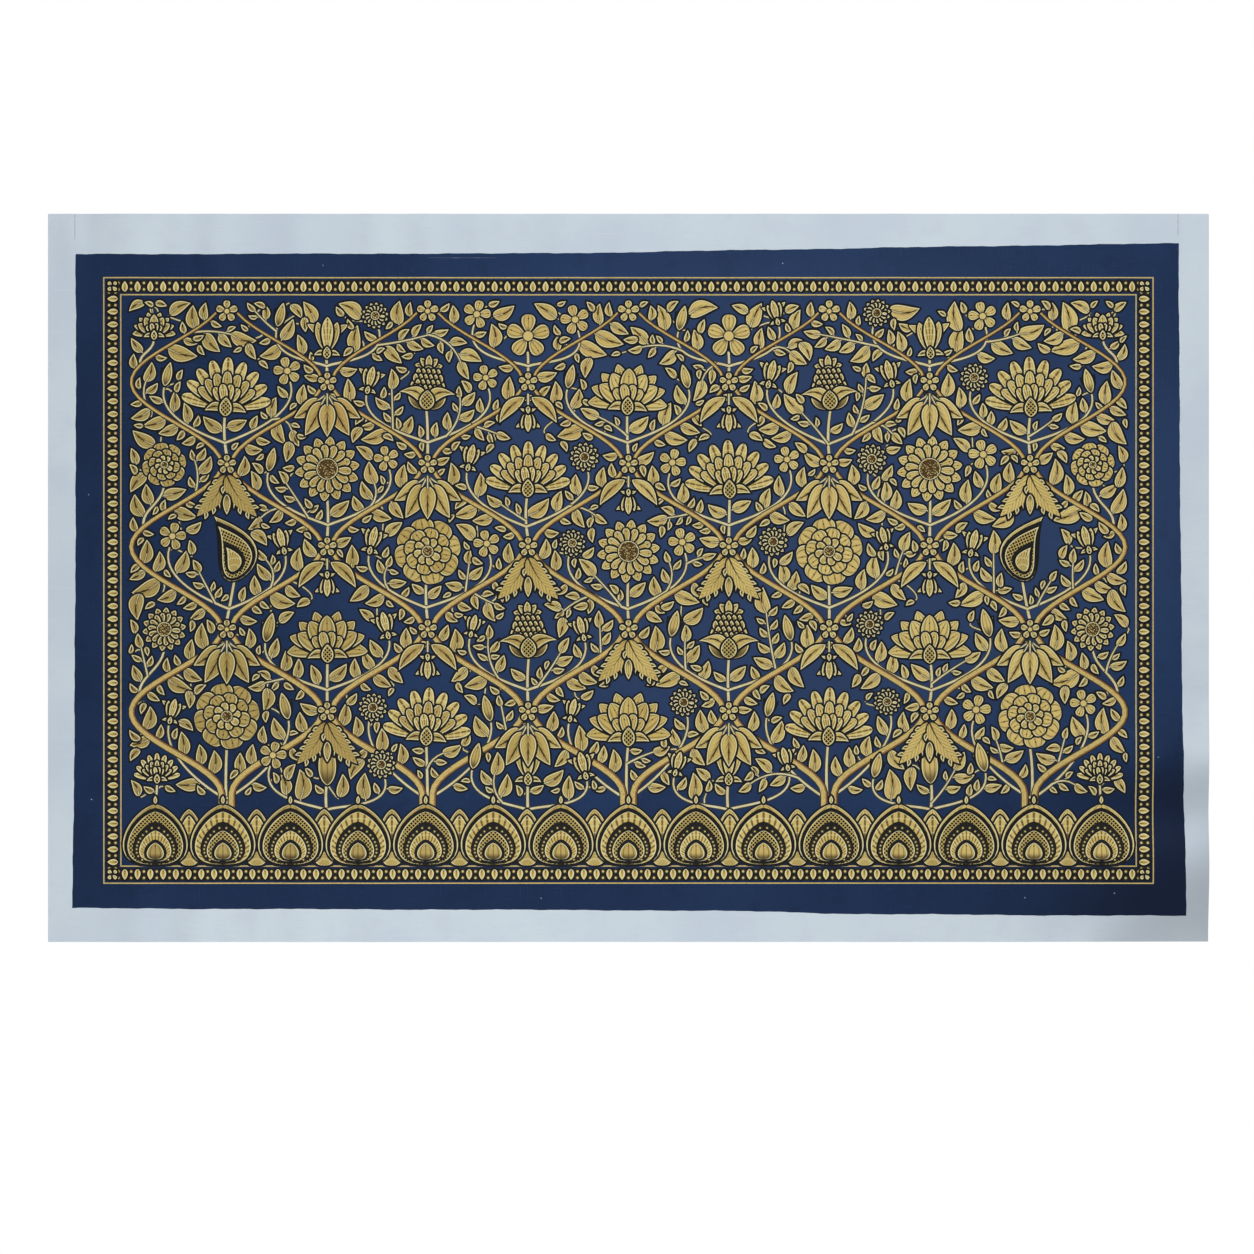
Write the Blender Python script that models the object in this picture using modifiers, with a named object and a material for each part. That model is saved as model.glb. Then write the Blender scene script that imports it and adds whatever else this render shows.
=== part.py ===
"""A painted cotton wall hanging, of the kind made as a temple backcloth.

One rectangle of cotton cloth hangs by its top edge. It is a single piece with nothing
sewn to it: a wide painted field and a narrow unpainted margin on all four sides.
It hangs almost flat. Soft upright ripples run down from the held top edge and up from
the free lower edge, and the lower right corner buckles in level folds and turns back.

Units are metres and +Z is up. The origin is the middle of the top edge. The painted
face looks along -Y, so the viewer's right is +X.
"""

import math

import bmesh
import bpy
from mathutils import Matrix

# The painted field is the common size of 60 by 36 inches. The bare margins are the mean
# of uneven ones, which were left by eye when the cloth was cut.
FIELD_WIDTH = 1.524
FIELD_DROP = 0.910
SIDE_MARGIN = 0.036
TOP_MARGIN = 0.049
BOTTOM_MARGIN = 0.042
CLOTH_WIDTH = FIELD_WIDTH + 2 * SIDE_MARGIN
CLOTH_DROP = TOP_MARGIN + FIELD_DROP + BOTTOM_MARGIN
CLOTH_THICKNESS = 0.0012

# The sheet's squares: fine enough across to carry the narrow upright ripples.
COLUMNS = 108
ROWS = 20

# Upright ripples below the held top edge. height is how far the crest stands out.
# Columns: across (from the middle), half_width, height, reach (down from the edge).
TOP_RIPPLES = (
    (-0.684, 0.036, 0.0040, 0.30),
    (-0.566, 0.020, 0.0028, 0.24),
    (-0.460, 0.021, 0.0022, 0.20),
    (-0.351, 0.022, 0.0024, 0.22),
    (-0.278, 0.024, 0.0030, 0.26),
    (-0.091, 0.024, 0.0028, 0.22),
    (-0.008, 0.022, 0.0020, 0.16),
    (0.064, 0.022, 0.0020, 0.18),
    (0.196, 0.024, 0.0022, 0.20),
    (0.359, 0.026, 0.0030, 0.26),
    (0.524, 0.024, 0.0020, 0.18),
    (0.600, 0.022, 0.0024, 0.22),
    (0.679, 0.024, 0.0026, 0.20),
)

# Shorter upright ripples above the free lower edge, with the same columns.
BOTTOM_RIPPLES = (
    (-0.674, 0.026, 0.0034, 0.15),
    (-0.593, 0.028, 0.0036, 0.16),
    (-0.445, 0.028, 0.0034, 0.15),
    (-0.342, 0.032, 0.0032, 0.16),
    (-0.182, 0.030, 0.0024, 0.13),
    (0.030, 0.034, 0.0018, 0.12),
    (0.190, 0.030, 0.0022, 0.13),
    (0.330, 0.030, 0.0020, 0.13),
    (0.530, 0.034, 0.0024, 0.14),
)

# Level folds that run in from the right-hand edge to the buckled lower corner.
# A height below zero falls back from the viewer.
# Columns: level (below the top edge), half_height, height, reach (in from the edge).
CORNER_FOLDS = (
    (0.745, 0.046, 0.0052, 0.24),
    (0.822, 0.038, -0.0060, 0.22),
    (0.897, 0.044, 0.0060, 0.20),
    (1.001, 0.056, -0.0100, 0.20),
)

# Slow swells of the whole sheet, too broad to read as folds.
# Columns: across, level, half_width, half_height, height.
SWELLS = (
    (-0.42, 0.55, 0.26, 0.34, 0.0035),
    (0.16, 0.70, 0.30, 0.30, -0.0030),
    (0.46, 0.38, 0.22, 0.30, 0.0030),
)

# Painted cotton, read as one colour from a distance: the deep blue of its ground.
COTTON_COLOUR = (0.018, 0.033, 0.082, 1.0)
COTTON_ROUGHNESS = 0.85


def bump(offset, half_width):
    """A smooth hump: 1 on its crest, fading to nothing about twice half_width away."""
    return math.exp(-((offset / half_width) ** 2))


def stands_out(across, below):
    """How far the cloth stands towards the viewer at a place on it.

    across is measured from the middle and below from the top edge.
    """
    above_hem = CLOTH_DROP - below
    in_from_edge = CLOTH_WIDTH / 2 - across
    out = 0.0
    for ripple_across, half_width, height, reach in TOP_RIPPLES:
        out += height * bump(across - ripple_across, half_width) * bump(below, reach)
    for ripple_across, half_width, height, reach in BOTTOM_RIPPLES:
        out += height * bump(across - ripple_across, half_width) * bump(above_hem, reach)
    for level, half_height, height, reach in CORNER_FOLDS:
        out += height * bump(below - level, half_height) * bump(in_from_edge, reach)
    for swell_across, level, half_width, half_height, height in SWELLS:
        out += height * bump(across - swell_across, half_width) * bump(below - level, half_height)
    return out


def clear_scene():
    for old in list(bpy.data.objects):
        bpy.data.objects.remove(old, do_unlink=True)


def painted_cotton():
    material = bpy.data.materials.new("painted cotton")
    material.use_nodes = True
    shader = material.node_tree.nodes["Principled BSDF"]
    shader.inputs["Base Color"].default_value = COTTON_COLOUR
    shader.inputs["Roughness"].default_value = COTTON_ROUGHNESS
    shader.inputs["Metallic"].default_value = 0.0
    return material


def hanging_cloth(collection):
    """The sheet: a flat grid stood upright, bent to its folds and given its thickness."""
    grid = bmesh.new()
    bmesh.ops.create_grid(grid, x_segments=COLUMNS, y_segments=ROWS, size=0.5)
    cut_to_size = Matrix.Diagonal((CLOTH_WIDTH, CLOTH_DROP, 1.0, 1.0))
    stood_upright = Matrix.Rotation(math.radians(90.0), 4, "X")
    hung_by_the_top = Matrix.Translation((0.0, 0.0, -CLOTH_DROP / 2))
    bmesh.ops.transform(grid, matrix=hung_by_the_top @ stood_upright @ cut_to_size, verts=grid.verts)
    for vertex in grid.verts:
        vertex.co.y = -stands_out(vertex.co.x, -vertex.co.z)
    mesh = bpy.data.meshes.new("painted_cloth")
    grid.to_mesh(mesh)
    grid.free()
    mesh.shade_smooth()
    cloth = bpy.data.objects.new("painted_cloth", mesh)
    cloth.data.materials.append(painted_cotton())
    collection.objects.link(cloth)
    thickness = cloth.modifiers.new("thickness", "SOLIDIFY")
    thickness.thickness = CLOTH_THICKNESS
    thickness.offset = 0.0
    return cloth


def main():
    clear_scene()
    collection = bpy.data.collections.new("pichwai painting")
    bpy.context.scene.collection.children.link(collection)
    hanging_cloth(collection)


main()
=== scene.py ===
# %% [markdown]
# # A painted temple hanging, 1.6 m wide
#
# The real thing is one piece of thin cotton. It was primed, painted deep blue, covered with
# ornament in gold paint and hung by its top edge. Nothing is sewn to it, so this lesson makes
# one piece: a thin sheet on the folds of the measured solid. The ornament is drawn into its
# mesh, so every leaf keeps a crisp edge from any distance, and the brushwork inside each leaf
# is worked out by its material from the leaf's own length and width.
#
# The ornament is a traditional trellis of leafy vines with lotus, daisy, carnation,
# pomegranate and paisley motifs, above a frieze of lotus petals.

# %% Load the measured solid
import cmath
import math
import random
from collections import namedtuple
from itertools import product

import bpy
import numpy as np
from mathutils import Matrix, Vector
from mathutils.geometry import delaunay_2d_cdt


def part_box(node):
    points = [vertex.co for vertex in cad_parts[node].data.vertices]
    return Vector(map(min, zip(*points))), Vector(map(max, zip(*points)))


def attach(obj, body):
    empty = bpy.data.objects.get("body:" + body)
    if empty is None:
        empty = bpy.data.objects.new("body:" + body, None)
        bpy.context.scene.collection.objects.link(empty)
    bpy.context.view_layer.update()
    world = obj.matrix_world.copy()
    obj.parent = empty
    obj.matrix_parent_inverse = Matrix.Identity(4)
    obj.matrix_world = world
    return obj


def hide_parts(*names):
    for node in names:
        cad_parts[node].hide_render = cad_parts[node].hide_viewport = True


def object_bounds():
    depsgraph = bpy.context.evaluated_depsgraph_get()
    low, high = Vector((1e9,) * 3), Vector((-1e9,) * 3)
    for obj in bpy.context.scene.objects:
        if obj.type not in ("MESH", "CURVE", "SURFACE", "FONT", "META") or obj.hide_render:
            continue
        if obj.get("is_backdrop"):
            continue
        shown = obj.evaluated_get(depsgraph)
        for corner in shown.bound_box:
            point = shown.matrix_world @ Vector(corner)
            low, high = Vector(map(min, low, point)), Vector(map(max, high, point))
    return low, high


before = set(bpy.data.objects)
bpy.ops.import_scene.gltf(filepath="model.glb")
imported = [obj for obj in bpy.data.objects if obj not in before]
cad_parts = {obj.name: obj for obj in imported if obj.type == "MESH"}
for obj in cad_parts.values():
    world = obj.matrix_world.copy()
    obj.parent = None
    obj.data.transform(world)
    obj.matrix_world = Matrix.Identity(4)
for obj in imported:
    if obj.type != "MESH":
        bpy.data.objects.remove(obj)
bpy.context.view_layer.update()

low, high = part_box("painted_cloth")
CLOTH_WIDTH = round(high.x - low.x, 3)
CLOTH_DROP = round(-low.z, 3)
SHEET_THICKNESS = 0.0008
MM = 0.001
print(f"cloth {CLOTH_WIDTH} m wide and {CLOTH_DROP} m deep")

# %% [markdown]
# ## How the cloth hangs
#
# A sheet held along its top edge hangs almost flat. It ripples in soft upright folds below
# the edge that holds it and above the free hem, and here the lower right corner buckles in
# level folds. A cloth simulation would find some folds, but not these. So each fold is listed
# as a smooth hump with its own width, height and reach, and one function adds them up. The
# same function gives the exact slope, which later shades the sheet without facets.

# %% List the folds, in metres, as on the solid
# Columns: across (from the middle), half_width, height, reach (down from the edge).
TOP_RIPPLES = (
    (-0.684, 0.036, 0.0040, 0.30),
    (-0.566, 0.020, 0.0028, 0.24),
    (-0.460, 0.021, 0.0022, 0.20),
    (-0.351, 0.022, 0.0024, 0.22),
    (-0.278, 0.024, 0.0030, 0.26),
    (-0.091, 0.024, 0.0028, 0.22),
    (-0.008, 0.022, 0.0020, 0.16),
    (0.064, 0.022, 0.0020, 0.18),
    (0.196, 0.024, 0.0022, 0.20),
    (0.359, 0.026, 0.0030, 0.26),
    (0.524, 0.024, 0.0020, 0.18),
    (0.600, 0.022, 0.0024, 0.22),
    (0.679, 0.024, 0.0026, 0.20),
)
# The same columns, with reach counted up from the free hem.
BOTTOM_RIPPLES = (
    (-0.674, 0.026, 0.0034, 0.15),
    (-0.593, 0.028, 0.0036, 0.16),
    (-0.445, 0.028, 0.0034, 0.15),
    (-0.342, 0.032, 0.0032, 0.16),
    (-0.182, 0.030, 0.0024, 0.13),
    (0.030, 0.034, 0.0018, 0.12),
    (0.190, 0.030, 0.0022, 0.13),
    (0.330, 0.030, 0.0020, 0.13),
    (0.530, 0.034, 0.0024, 0.14),
)
# Columns: level (below the top edge), half_height, height, reach (in from the right edge).
CORNER_FOLDS = (
    (0.745, 0.046, 0.0052, 0.24),
    (0.822, 0.038, -0.0060, 0.22),
    (0.897, 0.044, 0.0060, 0.20),
    (1.001, 0.056, -0.0100, 0.20),
)
# Columns: across, level, half_width, half_height, height.
SWELLS = (
    (-0.42, 0.55, 0.26, 0.34, 0.0035),
    (0.16, 0.70, 0.30, 0.30, -0.0030),
    (0.46, 0.38, 0.22, 0.30, 0.0030),
)
# Small puckers that only the thin sheet has, with the columns of the swells.
PUCKERS = (
    (-0.770, 0.03, 0.012, 0.060, 0.0011),
    (-0.742, 0.02, 0.010, 0.050, -0.0009),
    (-0.620, 0.01, 0.012, 0.070, 0.0010),
    (-0.210, 0.01, 0.014, 0.060, 0.0009),
    (0.130, 0.01, 0.012, 0.060, 0.0008),
    (0.455, 0.01, 0.012, 0.070, 0.0010),
    (0.740, 0.02, 0.014, 0.080, 0.0012),
    (-0.510, 0.99, 0.014, 0.050, 0.0010),
    (-0.390, 0.99, 0.012, 0.045, -0.0009),
    (0.110, 0.99, 0.014, 0.050, 0.0010),
    (0.640, 0.99, 0.013, 0.060, 0.0010),
    (0.776, 0.58, 0.050, 0.016, 0.0008),
    (0.770, 0.66, 0.060, 0.014, -0.0008),
)
# Every fold as one kind of hump, with the columns of the swells.
HUMPS = (
    *((across, 0.0, width, reach, height) for across, width, height, reach in TOP_RIPPLES),
    *((across, CLOTH_DROP, width, reach, tall) for across, width, tall, reach in BOTTOM_RIPPLES),
    *((CLOTH_WIDTH / 2, level, reach, drop, height) for level, drop, height, reach in CORNER_FOLDS),
    *SWELLS,
    *PUCKERS,
)
SLOPE_NUDGE = 0.0005


def bump(offset, half_width):
    """A smooth hump: 1 on its crest, fading to nothing about twice half_width away."""
    return np.exp(-((offset / half_width) ** 2))


def stands_out(across, below):
    """How far the cloth stands towards the viewer, in metres, at many places at once."""
    out = np.zeros_like(across)
    for middle, level, half_width, half_height, height in HUMPS:
        out += height * bump(across - middle, half_width) * bump(below - level, half_height)
    return out


def hang(across, below, offset):
    """Places and normals of points that lie offset metres in front of the sheet's middle."""
    left, right = (stands_out(across + nudge, below) for nudge in (-SLOPE_NUDGE, SLOPE_NUDGE))
    upper, lower = (stands_out(across, below + nudge) for nudge in (-SLOPE_NUDGE, SLOPE_NUDGE))
    slope_across = (right - left) / (2 * SLOPE_NUDGE)
    slope_down = (lower - upper) / (2 * SLOPE_NUDGE)
    normals = np.stack([-slope_across, -np.ones_like(across), slope_down], axis=1)
    normals /= np.linalg.norm(normals, axis=1, keepdims=True)
    places = np.stack([across, -stands_out(across, below), -below], axis=1)
    return places + offset * normals, normals


sample_across = np.linspace(-CLOTH_WIDTH / 2, CLOTH_WIDTH / 2, 80)
sample_below = np.linspace(0.0, CLOTH_DROP, 50)
depth = stands_out(*np.meshgrid(sample_across, sample_below))
print(f"folds stand from {depth.min() / MM:.1f} to {depth.max() / MM:.1f} mm out")

# %% [markdown]
# ## The drawing
#
# The ornament is laid out flat, in millimetres from the middle of the painted field. A place
# is one complex number, across + up * 1j, because turning a motif is then one
# multiplication. Each stroke of the ornament becomes a mark: an outline, and the frame that
# its brushwork follows. Marks go into layers, and a later layer covers an earlier one, as
# paint does.

# %% Set out the field and its marks
FIELD_WIDTH = 1524.0
FIELD_DROP = 910.0
FIELD_MIDDLE_BELOW = 504.0
# How far the dark line round a leaf or petal reaches beyond it.
HALO = 2.6
# The size and the swell of a mark that has no brushwork of its own.
PLAIN_SIZE = (1.0, 1.0, 0.0)
PLAIN_SWELL = (1.0, 1.0, 1.0)

Mark = namedtuple("Mark", "paint outline foot heading size swell")
LAYERS = ("ground", "long stalks", "leaves", "stalks", "vines", "frieze", "flowers")
layers = {name: [] for name in LAYERS}
hand = random.Random(12)


def turned(degrees):
    """A direction, as a complex number of length 1: 0 is to the right and 90 is up."""
    return cmath.rect(1.0, math.radians(degrees))


def lay(layer, paint, outline, foot=0j, heading=1 + 0j, size=PLAIN_SIZE, swell=PLAIN_SWELL):
    layers[layer].append(Mark(paint, np.asarray(outline), foot, heading, size, swell))


# %% [markdown]
# ## Leaves and petals
#
# A leaf, a petal, a bud, a paisley and a fish scale are all one shape to a painter: a stroke
# that swells and closes along a bent middle line. Two powers say how quickly it opens at its
# foot and closes at its tip, so one function draws them all, and one short table names them.
# The outline is drawn a little too large, because its rim carries the dark line that parts a
# motif from its neighbours.

# %% Draw a blade: any leaf or petal
# Rows: the power at the foot and the power at the tip.
BLADES = {
    "leaf": (0.54, 1.02),
    "willow": (0.80, 1.15),
    "petal": (1.05, 0.72),
    "round petal": (0.95, 0.42),
    "arch": (0.34, 0.66),
    "drop": (0.50, 1.25),
    "bud": (0.60, 0.85),
}


def swell_of(name):
    """The two powers and the factor that makes the widest place 1."""
    foot, tip = BLADES[name]
    widest = foot / (foot + tip)
    return foot, tip, 1.0 / (widest ** foot * (1.0 - widest) ** tip)


def blade_side(t, swell):
    foot, tip, factor = swell
    return factor * t ** foot * (1.0 - t) ** tip


def blade(layer, paint, foot, heading, length, half_width, bend=0.0, shape="leaf"):
    """One leaf or petal. bend is how far its middle line bows to the left, in its lengths."""
    swell = swell_of(shape)
    steps = 5 + int(length / 11.0)
    t = (1.0 - np.cos(np.linspace(0.0, np.pi, steps + 1))) / 2.0
    along = t * (length + 2.0 * HALO) - HALO
    middle = 4.0 * bend * length * t * (1.0 - t)
    side = half_width * blade_side(t, swell) + HALO * np.sin(np.pi * t).clip(0.0) ** 0.5
    right = along + 1j * (middle - side)
    left = along + 1j * (middle + side)
    outline = foot + heading * np.concatenate([right, left[-2:0:-1]])
    lay(layer, paint, outline, foot, heading, (length, half_width, bend * length), swell)


def circle(corners):
    return np.exp(2j * np.pi * np.arange(corners) / corners)


def disc(layer, paint, middle, radius):
    """A round mark, such as a seed head, a berry or a bead."""
    outline = middle + (radius + HALO * 0.6) * circle(9 + int(radius / 1.6))
    lay(layer, paint, outline, middle, size=(radius, radius, 0.0))


# %% [markdown]
# ## Stems
#
# A stem is a ribbon of short pieces with shared corners. Its route is a smooth curve between
# two places, drawn out by a handle at each end, as a hand swings a brush.

# %% Draw a stem
STEM_STEP = 8.0
STEM_EDGE = 1.3


def curve(start, start_handle, end_handle, end):
    """A smooth route as a row of places, one about every STEM_STEP millimetres."""
    rough = abs(start_handle - start) + abs(end_handle - start_handle) + abs(end - end_handle)
    t = np.linspace(0.0, 1.0, max(3, int(rough / STEM_STEP) + 1))
    s = 1.0 - t
    return s ** 3 * start + 3 * s * s * t * start_handle + 3 * s * t * t * end_handle + t ** 3 * end


def bow(start, end, bulge):
    """A simple bent route. bulge is how far it bows to the left, in its lengths."""
    lean = (end - start) * 1j * bulge * 4.0 / 3.0
    return curve(start, start + (end - start) / 3 + lean, end - (end - start) / 3 + lean, end)


def headings_along(route):
    ahead = np.diff(route)
    ahead = np.concatenate([ahead[:1], (ahead[:-1] + ahead[1:]) / 2, ahead[-1:]])
    return ahead / np.abs(ahead)


def stem(layer, paint, route, start_half, end_half, edge=STEM_EDGE):
    """A ribbon along a route that tapers between two half widths, with room for dark edges."""
    route = np.asarray(route)
    half = np.linspace(start_half, end_half, len(route))
    side = 1j * headings_along(route) * (half + edge)
    left, right = route + side, route - side
    travelled = 0.0
    for i in range(len(route) - 1):
        chord = route[i + 1] - route[i]
        heading = chord / abs(chord)
        outline = np.array([right[i], right[i + 1], left[i + 1], left[i]])
        # A piece that folds over itself in a tight bend has no clear inside, so it is left out.
        edges = np.roll(outline, -1) - outline
        if (edges.conj() * np.roll(edges, -1)).imag.min() > 0.0:
            size = (abs(chord), (half[i] + half[i + 1]) / 2, 0.0)
            lay(layer, paint, outline, route[i] - heading * travelled, heading, size)
        travelled += abs(chord)


# %% [markdown]
# ## Keeping motifs apart
#
# Foliage like this is dense, yet leaves hardly touch. The ground is divided into small
# squares, and a motif that is set down takes its squares. A new leaf is tried long first and
# then shorter, at several slants, and it is drawn only where its squares are still free.

# %% Keep account of the free ground
SQUARE = 1.6
CLEARANCE = 1.2
# The ground that the trellis may fill, inside the border and above the frieze.
TRELLIS_HALF_WIDTH = 688.0
TRELLIS_LOW = -294.0
TRELLIS_HIGH = 386.0

ground_columns = int(FIELD_WIDTH / SQUARE) + 1
ground_rows = int(FIELD_DROP / SQUARE) + 1
taken = np.ones(ground_rows * ground_columns, bool)


def squares_of(spots):
    """The numbers of the squares under some places, counted row by row from the lower left."""
    row = ((spots.imag + FIELD_DROP / 2) / SQUARE).astype(int)
    column = ((spots.real + FIELD_WIDTH / 2) / SQUARE).astype(int)
    return row * ground_columns + column


def is_free(spots):
    """Whether all squares under the spots are free. A few spots are tried first, to save time."""
    return not taken[squares_of(spots[::11])].any() and not taken[squares_of(spots)].any()


def take(spots):
    taken[squares_of(spots)] = True


def blade_spots(length, half_width, bend=0.0, shape="leaf", grow=0.0):
    """Places all over a blade that starts at 0 and points right, close enough to miss no square.

    The foot is left out, because there a leaf may touch the stem it grows from.
    """
    rows = max(3, int(length / SQUARE * 1.1))
    lines = max(3, int(2 * (half_width + grow) / SQUARE * 1.1) + 1)
    t = np.linspace(0.18, 1.0, rows)
    side = half_width * blade_side(t, swell_of(shape)) + grow * (t * 2.5 - 0.4).clip(0.0, 1.0)
    middle = 4.0 * bend * length * t * (1.0 - t)
    spread = middle[:, None] + side[:, None] * np.linspace(-1.0, 1.0, lines)
    return ((t * (length + grow))[:, None] + 1j * spread).ravel()


def disc_spots(middle, radius):
    rings = np.arange(0.0, radius + SQUARE * 0.5, SQUARE * 0.8)
    around = np.exp(2j * np.pi * np.linspace(0.0, 1.0, 8 + int(radius * 4.5)))
    return (middle + rings[:, None] * around[None, :]).ravel()


def stem_spots(route, half_width):
    fine = np.concatenate([np.linspace(a, b, 6) for a, b in zip(route[:-1], route[1:])])
    side = 1j * np.repeat(headings_along(route)[:-1], 6) * half_width
    return np.stack([fine - side, fine, fine + side], axis=1).ravel()


across, up = np.meshgrid(
    np.arange(-TRELLIS_HALF_WIDTH, TRELLIS_HALF_WIDTH, SQUARE / 2),
    np.arange(TRELLIS_LOW, TRELLIS_HIGH, SQUARE / 2),
)
taken[squares_of((across + 1j * up).ravel())] = False
print(f"{(~taken).sum()} free squares of {SQUARE} mm")

# %% [markdown]
# ## The ground, its border and the frieze
#
# The blue was brushed up to ruled lines by eye, so its edges stray by a few millimetres and
# the bare margins are uneven. The border is a black band with gold lotus buds between ruled
# gold lines, and a frieze of lotus petals stands on its lower side.

# %% Brush in the blue ground
# Columns: a place along the edge, from the field's middle, and how far up or right of its mean line
# the edge lies there.
TOP_EDGE = (
    (-762, -6.5), (-500, -6.0), (-180, -5.5), (-40, -4.5),
    (120, -1.5), (300, 1.5), (480, 4.5), (760, 8.5),
)
BOTTOM_EDGE = (
    (-763, 4.5), (-560, 3.5), (-250, 2.5), (0, 1.5),
    (180, 0.0), (300, -3.5), (520, -5.0), (766, -6.5),
)
LEFT_EDGE = ((-455, -2.5), (-330, -1.0), (-200, 0.5), (0, 1.5), (200, 2.5), (455, 2.0))
RIGHT_EDGE = ((-455, 5.5), (-300, 1.5), (-120, -1.0), (60, -3.0), (250, -4.5), (455, -5.5))
# Columns: the length and the height of a wave in every edge.
EDGE_WAVES = ((290.0, 0.30), (97.0, 0.25), (43.0, 0.22), (23.0, 0.18))
LEVEL_EDGE_CORNERS = 190
UPRIGHT_EDGE_CORNERS = 110


def brushed_edge(table, corners, wander):
    """Places along a hand-brushed edge, and how far it strays there. wander shifts its waves."""
    along = np.linspace(table[0][0], table[-1][0], corners)
    stray = np.interp(along, *zip(*table))
    for length, height in EDGE_WAVES:
        stray = stray + height * np.sin(along / length * 2 * np.pi + wander * length)
    return along, stray


def level_edge(table, mean_line, wander):
    along, stray = brushed_edge(table, LEVEL_EDGE_CORNERS, wander)
    return along + 1j * (mean_line + stray)


def upright_edge(table, mean_line, wander):
    along, stray = brushed_edge(table, UPRIGHT_EDGE_CORNERS, wander)
    return mean_line + stray + 1j * along


def paint_field():
    top = level_edge(TOP_EDGE, FIELD_DROP / 2, 0.3)
    bottom = level_edge(BOTTOM_EDGE, -FIELD_DROP / 2, 1.1)
    left = upright_edge(LEFT_EDGE, -FIELD_WIDTH / 2, 2.3)
    right = upright_edge(RIGHT_EDGE, FIELD_WIDTH / 2, 0.7)
    # The upright edges end level with the others.
    left.imag[[0, -1]] = bottom.imag[0], top.imag[0]
    right.imag[[0, -1]] = bottom.imag[-1], top.imag[-1]
    lay("ground", "blue ground", np.concatenate([bottom[1:-1], right, top[-2:0:-1], left[::-1]]))


paint_field()
print(f"field of {FIELD_WIDTH:.0f} by {FIELD_DROP:.0f} mm brushed in")

# %% Rule the border
BORDER_HALF_WIDTH = 722.0
BORDER_HALF_DROP = 417.0
BORDER_LINE = 1.7
BORDER_BAND = 17.0
BORDER_GAP = 2.4
CORNER_STEP = 9.0
# Buds and pairs of beads stand in turn along the middle line of the band.
BUD_PITCH = 17.5
BUD_LENGTH = 14.8
BUD_HALF_WIDTH = 4.6
BUD_FOOT_IN = 7.6
BEAD_RADIUS = 1.7
BEAD_AWAY = 4.4
# The petals of the small cross in each corner: how far out they start, their length and half width.
CORNER_PETAL = (0.5, 7.4, 3.0)


def rectangle(width, drop, middle):
    """A rectangle's outline, with corners every 9 mm or so, to let it follow the folds."""
    across = np.linspace(-width / 2, width / 2, max(2, round(width / CORNER_STEP) + 1))
    up = np.linspace(-drop / 2, drop / 2, max(2, round(drop / CORNER_STEP) + 1))
    low_side = (across - 0.5j * drop)[:-1]
    right_side = (width / 2 + 1j * up)[:-1]
    return middle + np.concatenate([low_side, right_side, -low_side, -right_side])


def panel(paint, middle, width, drop):
    lay("ground", paint, rectangle(width, drop, middle), middle)


def ruled_frame(inset):
    """Four ruled strips that make one frame."""
    half_width = BORDER_HALF_WIDTH - inset
    half_drop = BORDER_HALF_DROP - inset
    for side in (-1, 1):
        panel("gold line", 1j * side * (half_drop - BORDER_LINE / 2), 2 * half_width, BORDER_LINE)
        panel("gold line", side * (half_width - BORDER_LINE / 2) + 0j, BORDER_LINE, 2 * half_drop)


def border():
    outer = BORDER_LINE + BORDER_GAP
    inner = outer + BORDER_BAND
    for inset, paint in ((outer, "lamp black"), (inner, "blue ground")):
        panel(paint, 0j, 2 * (BORDER_HALF_WIDTH - inset), 2 * (BORDER_HALF_DROP - inset))
    ruled_frame(0.0)
    ruled_frame(inner + BORDER_GAP)
    long_reach = BORDER_HALF_WIDTH - outer - BORDER_BAND / 2
    short_reach = BORDER_HALF_DROP - outer - BORDER_BAND / 2
    for full_run, reach, facing in ((long_reach, short_reach, 90), (short_reach, long_reach, 0)):
        run = full_run - BORDER_BAND / 2
        count = round(2 * run / BUD_PITCH)
        for side in (-1, 1):
            out = side * turned(facing)
            for i in range(count):
                middle = out * (reach + 1j * run * ((2 * i + 1) / count - 1))
                foot = middle - out * BUD_FOOT_IN
                blade("ground", "bud gold", foot, out, BUD_LENGTH, BUD_HALF_WIDTH, shape="bud")
            for i in range(count + 1):
                middle = out * (reach + 1j * run * (2 * i / count - 1))
                for away in (BEAD_AWAY, -BEAD_AWAY):
                    disc("ground", "bead gold", middle + out * away, BEAD_RADIUS)
    start, length, half_width = CORNER_PETAL
    for corner in (1 + 1j, -1 + 1j, -1 - 1j, 1 - 1j):
        middle = complex(corner.real * long_reach, corner.imag * short_reach)
        for quarter in range(4):
            way = turned(45 + 90 * quarter)
            foot = middle + way * start
            blade("ground", "bud gold", foot, way, length, half_width, shape="round petal")


border()
print(f"{len(layers['ground'])} marks in the ground and border")

# %% Draw the frieze of lotus petals
BORDER_DEPTH = 2 * BORDER_LINE + 2 * BORDER_GAP + BORDER_BAND
FRIEZE_LOW = BORDER_DEPTH - BORDER_HALF_DROP
FRIEZE_PETALS = 15
FRIEZE_HEIGHT = 84.0
FRIEZE_PITCH = 2 * (BORDER_HALF_WIDTH - BORDER_DEPTH) / FRIEZE_PETALS
FRIEZE_HALF_WIDTH = FRIEZE_PITCH / 2 - 1.4
# The share of a petal that each nested stroke fills, and how far it sits above the foot.
NEST_SHARES = (1.0, 0.90, 0.86, 0.64, 0.50, 0.30, 0.27)
NEST_RISE = 0.14
# Beads follow the second black stroke, in the middle of what shows of it.
BEADED_SHARE = 0.57
BEADS_UP_SIDE = np.linspace(0.06, 0.97, 10)
FRIEZE_BEAD_RADIUS = 1.2
# Rows: a stroke of the small petals: its paint, its share of the height and its half width.
SMALL_PETAL = (("petal gold", 0.92, 22.0), ("shell gold", 0.82, 17.0))
# The length and half width of the bud on top of each large petal.
TOP_BUD = (11.0, 3.0)


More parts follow.
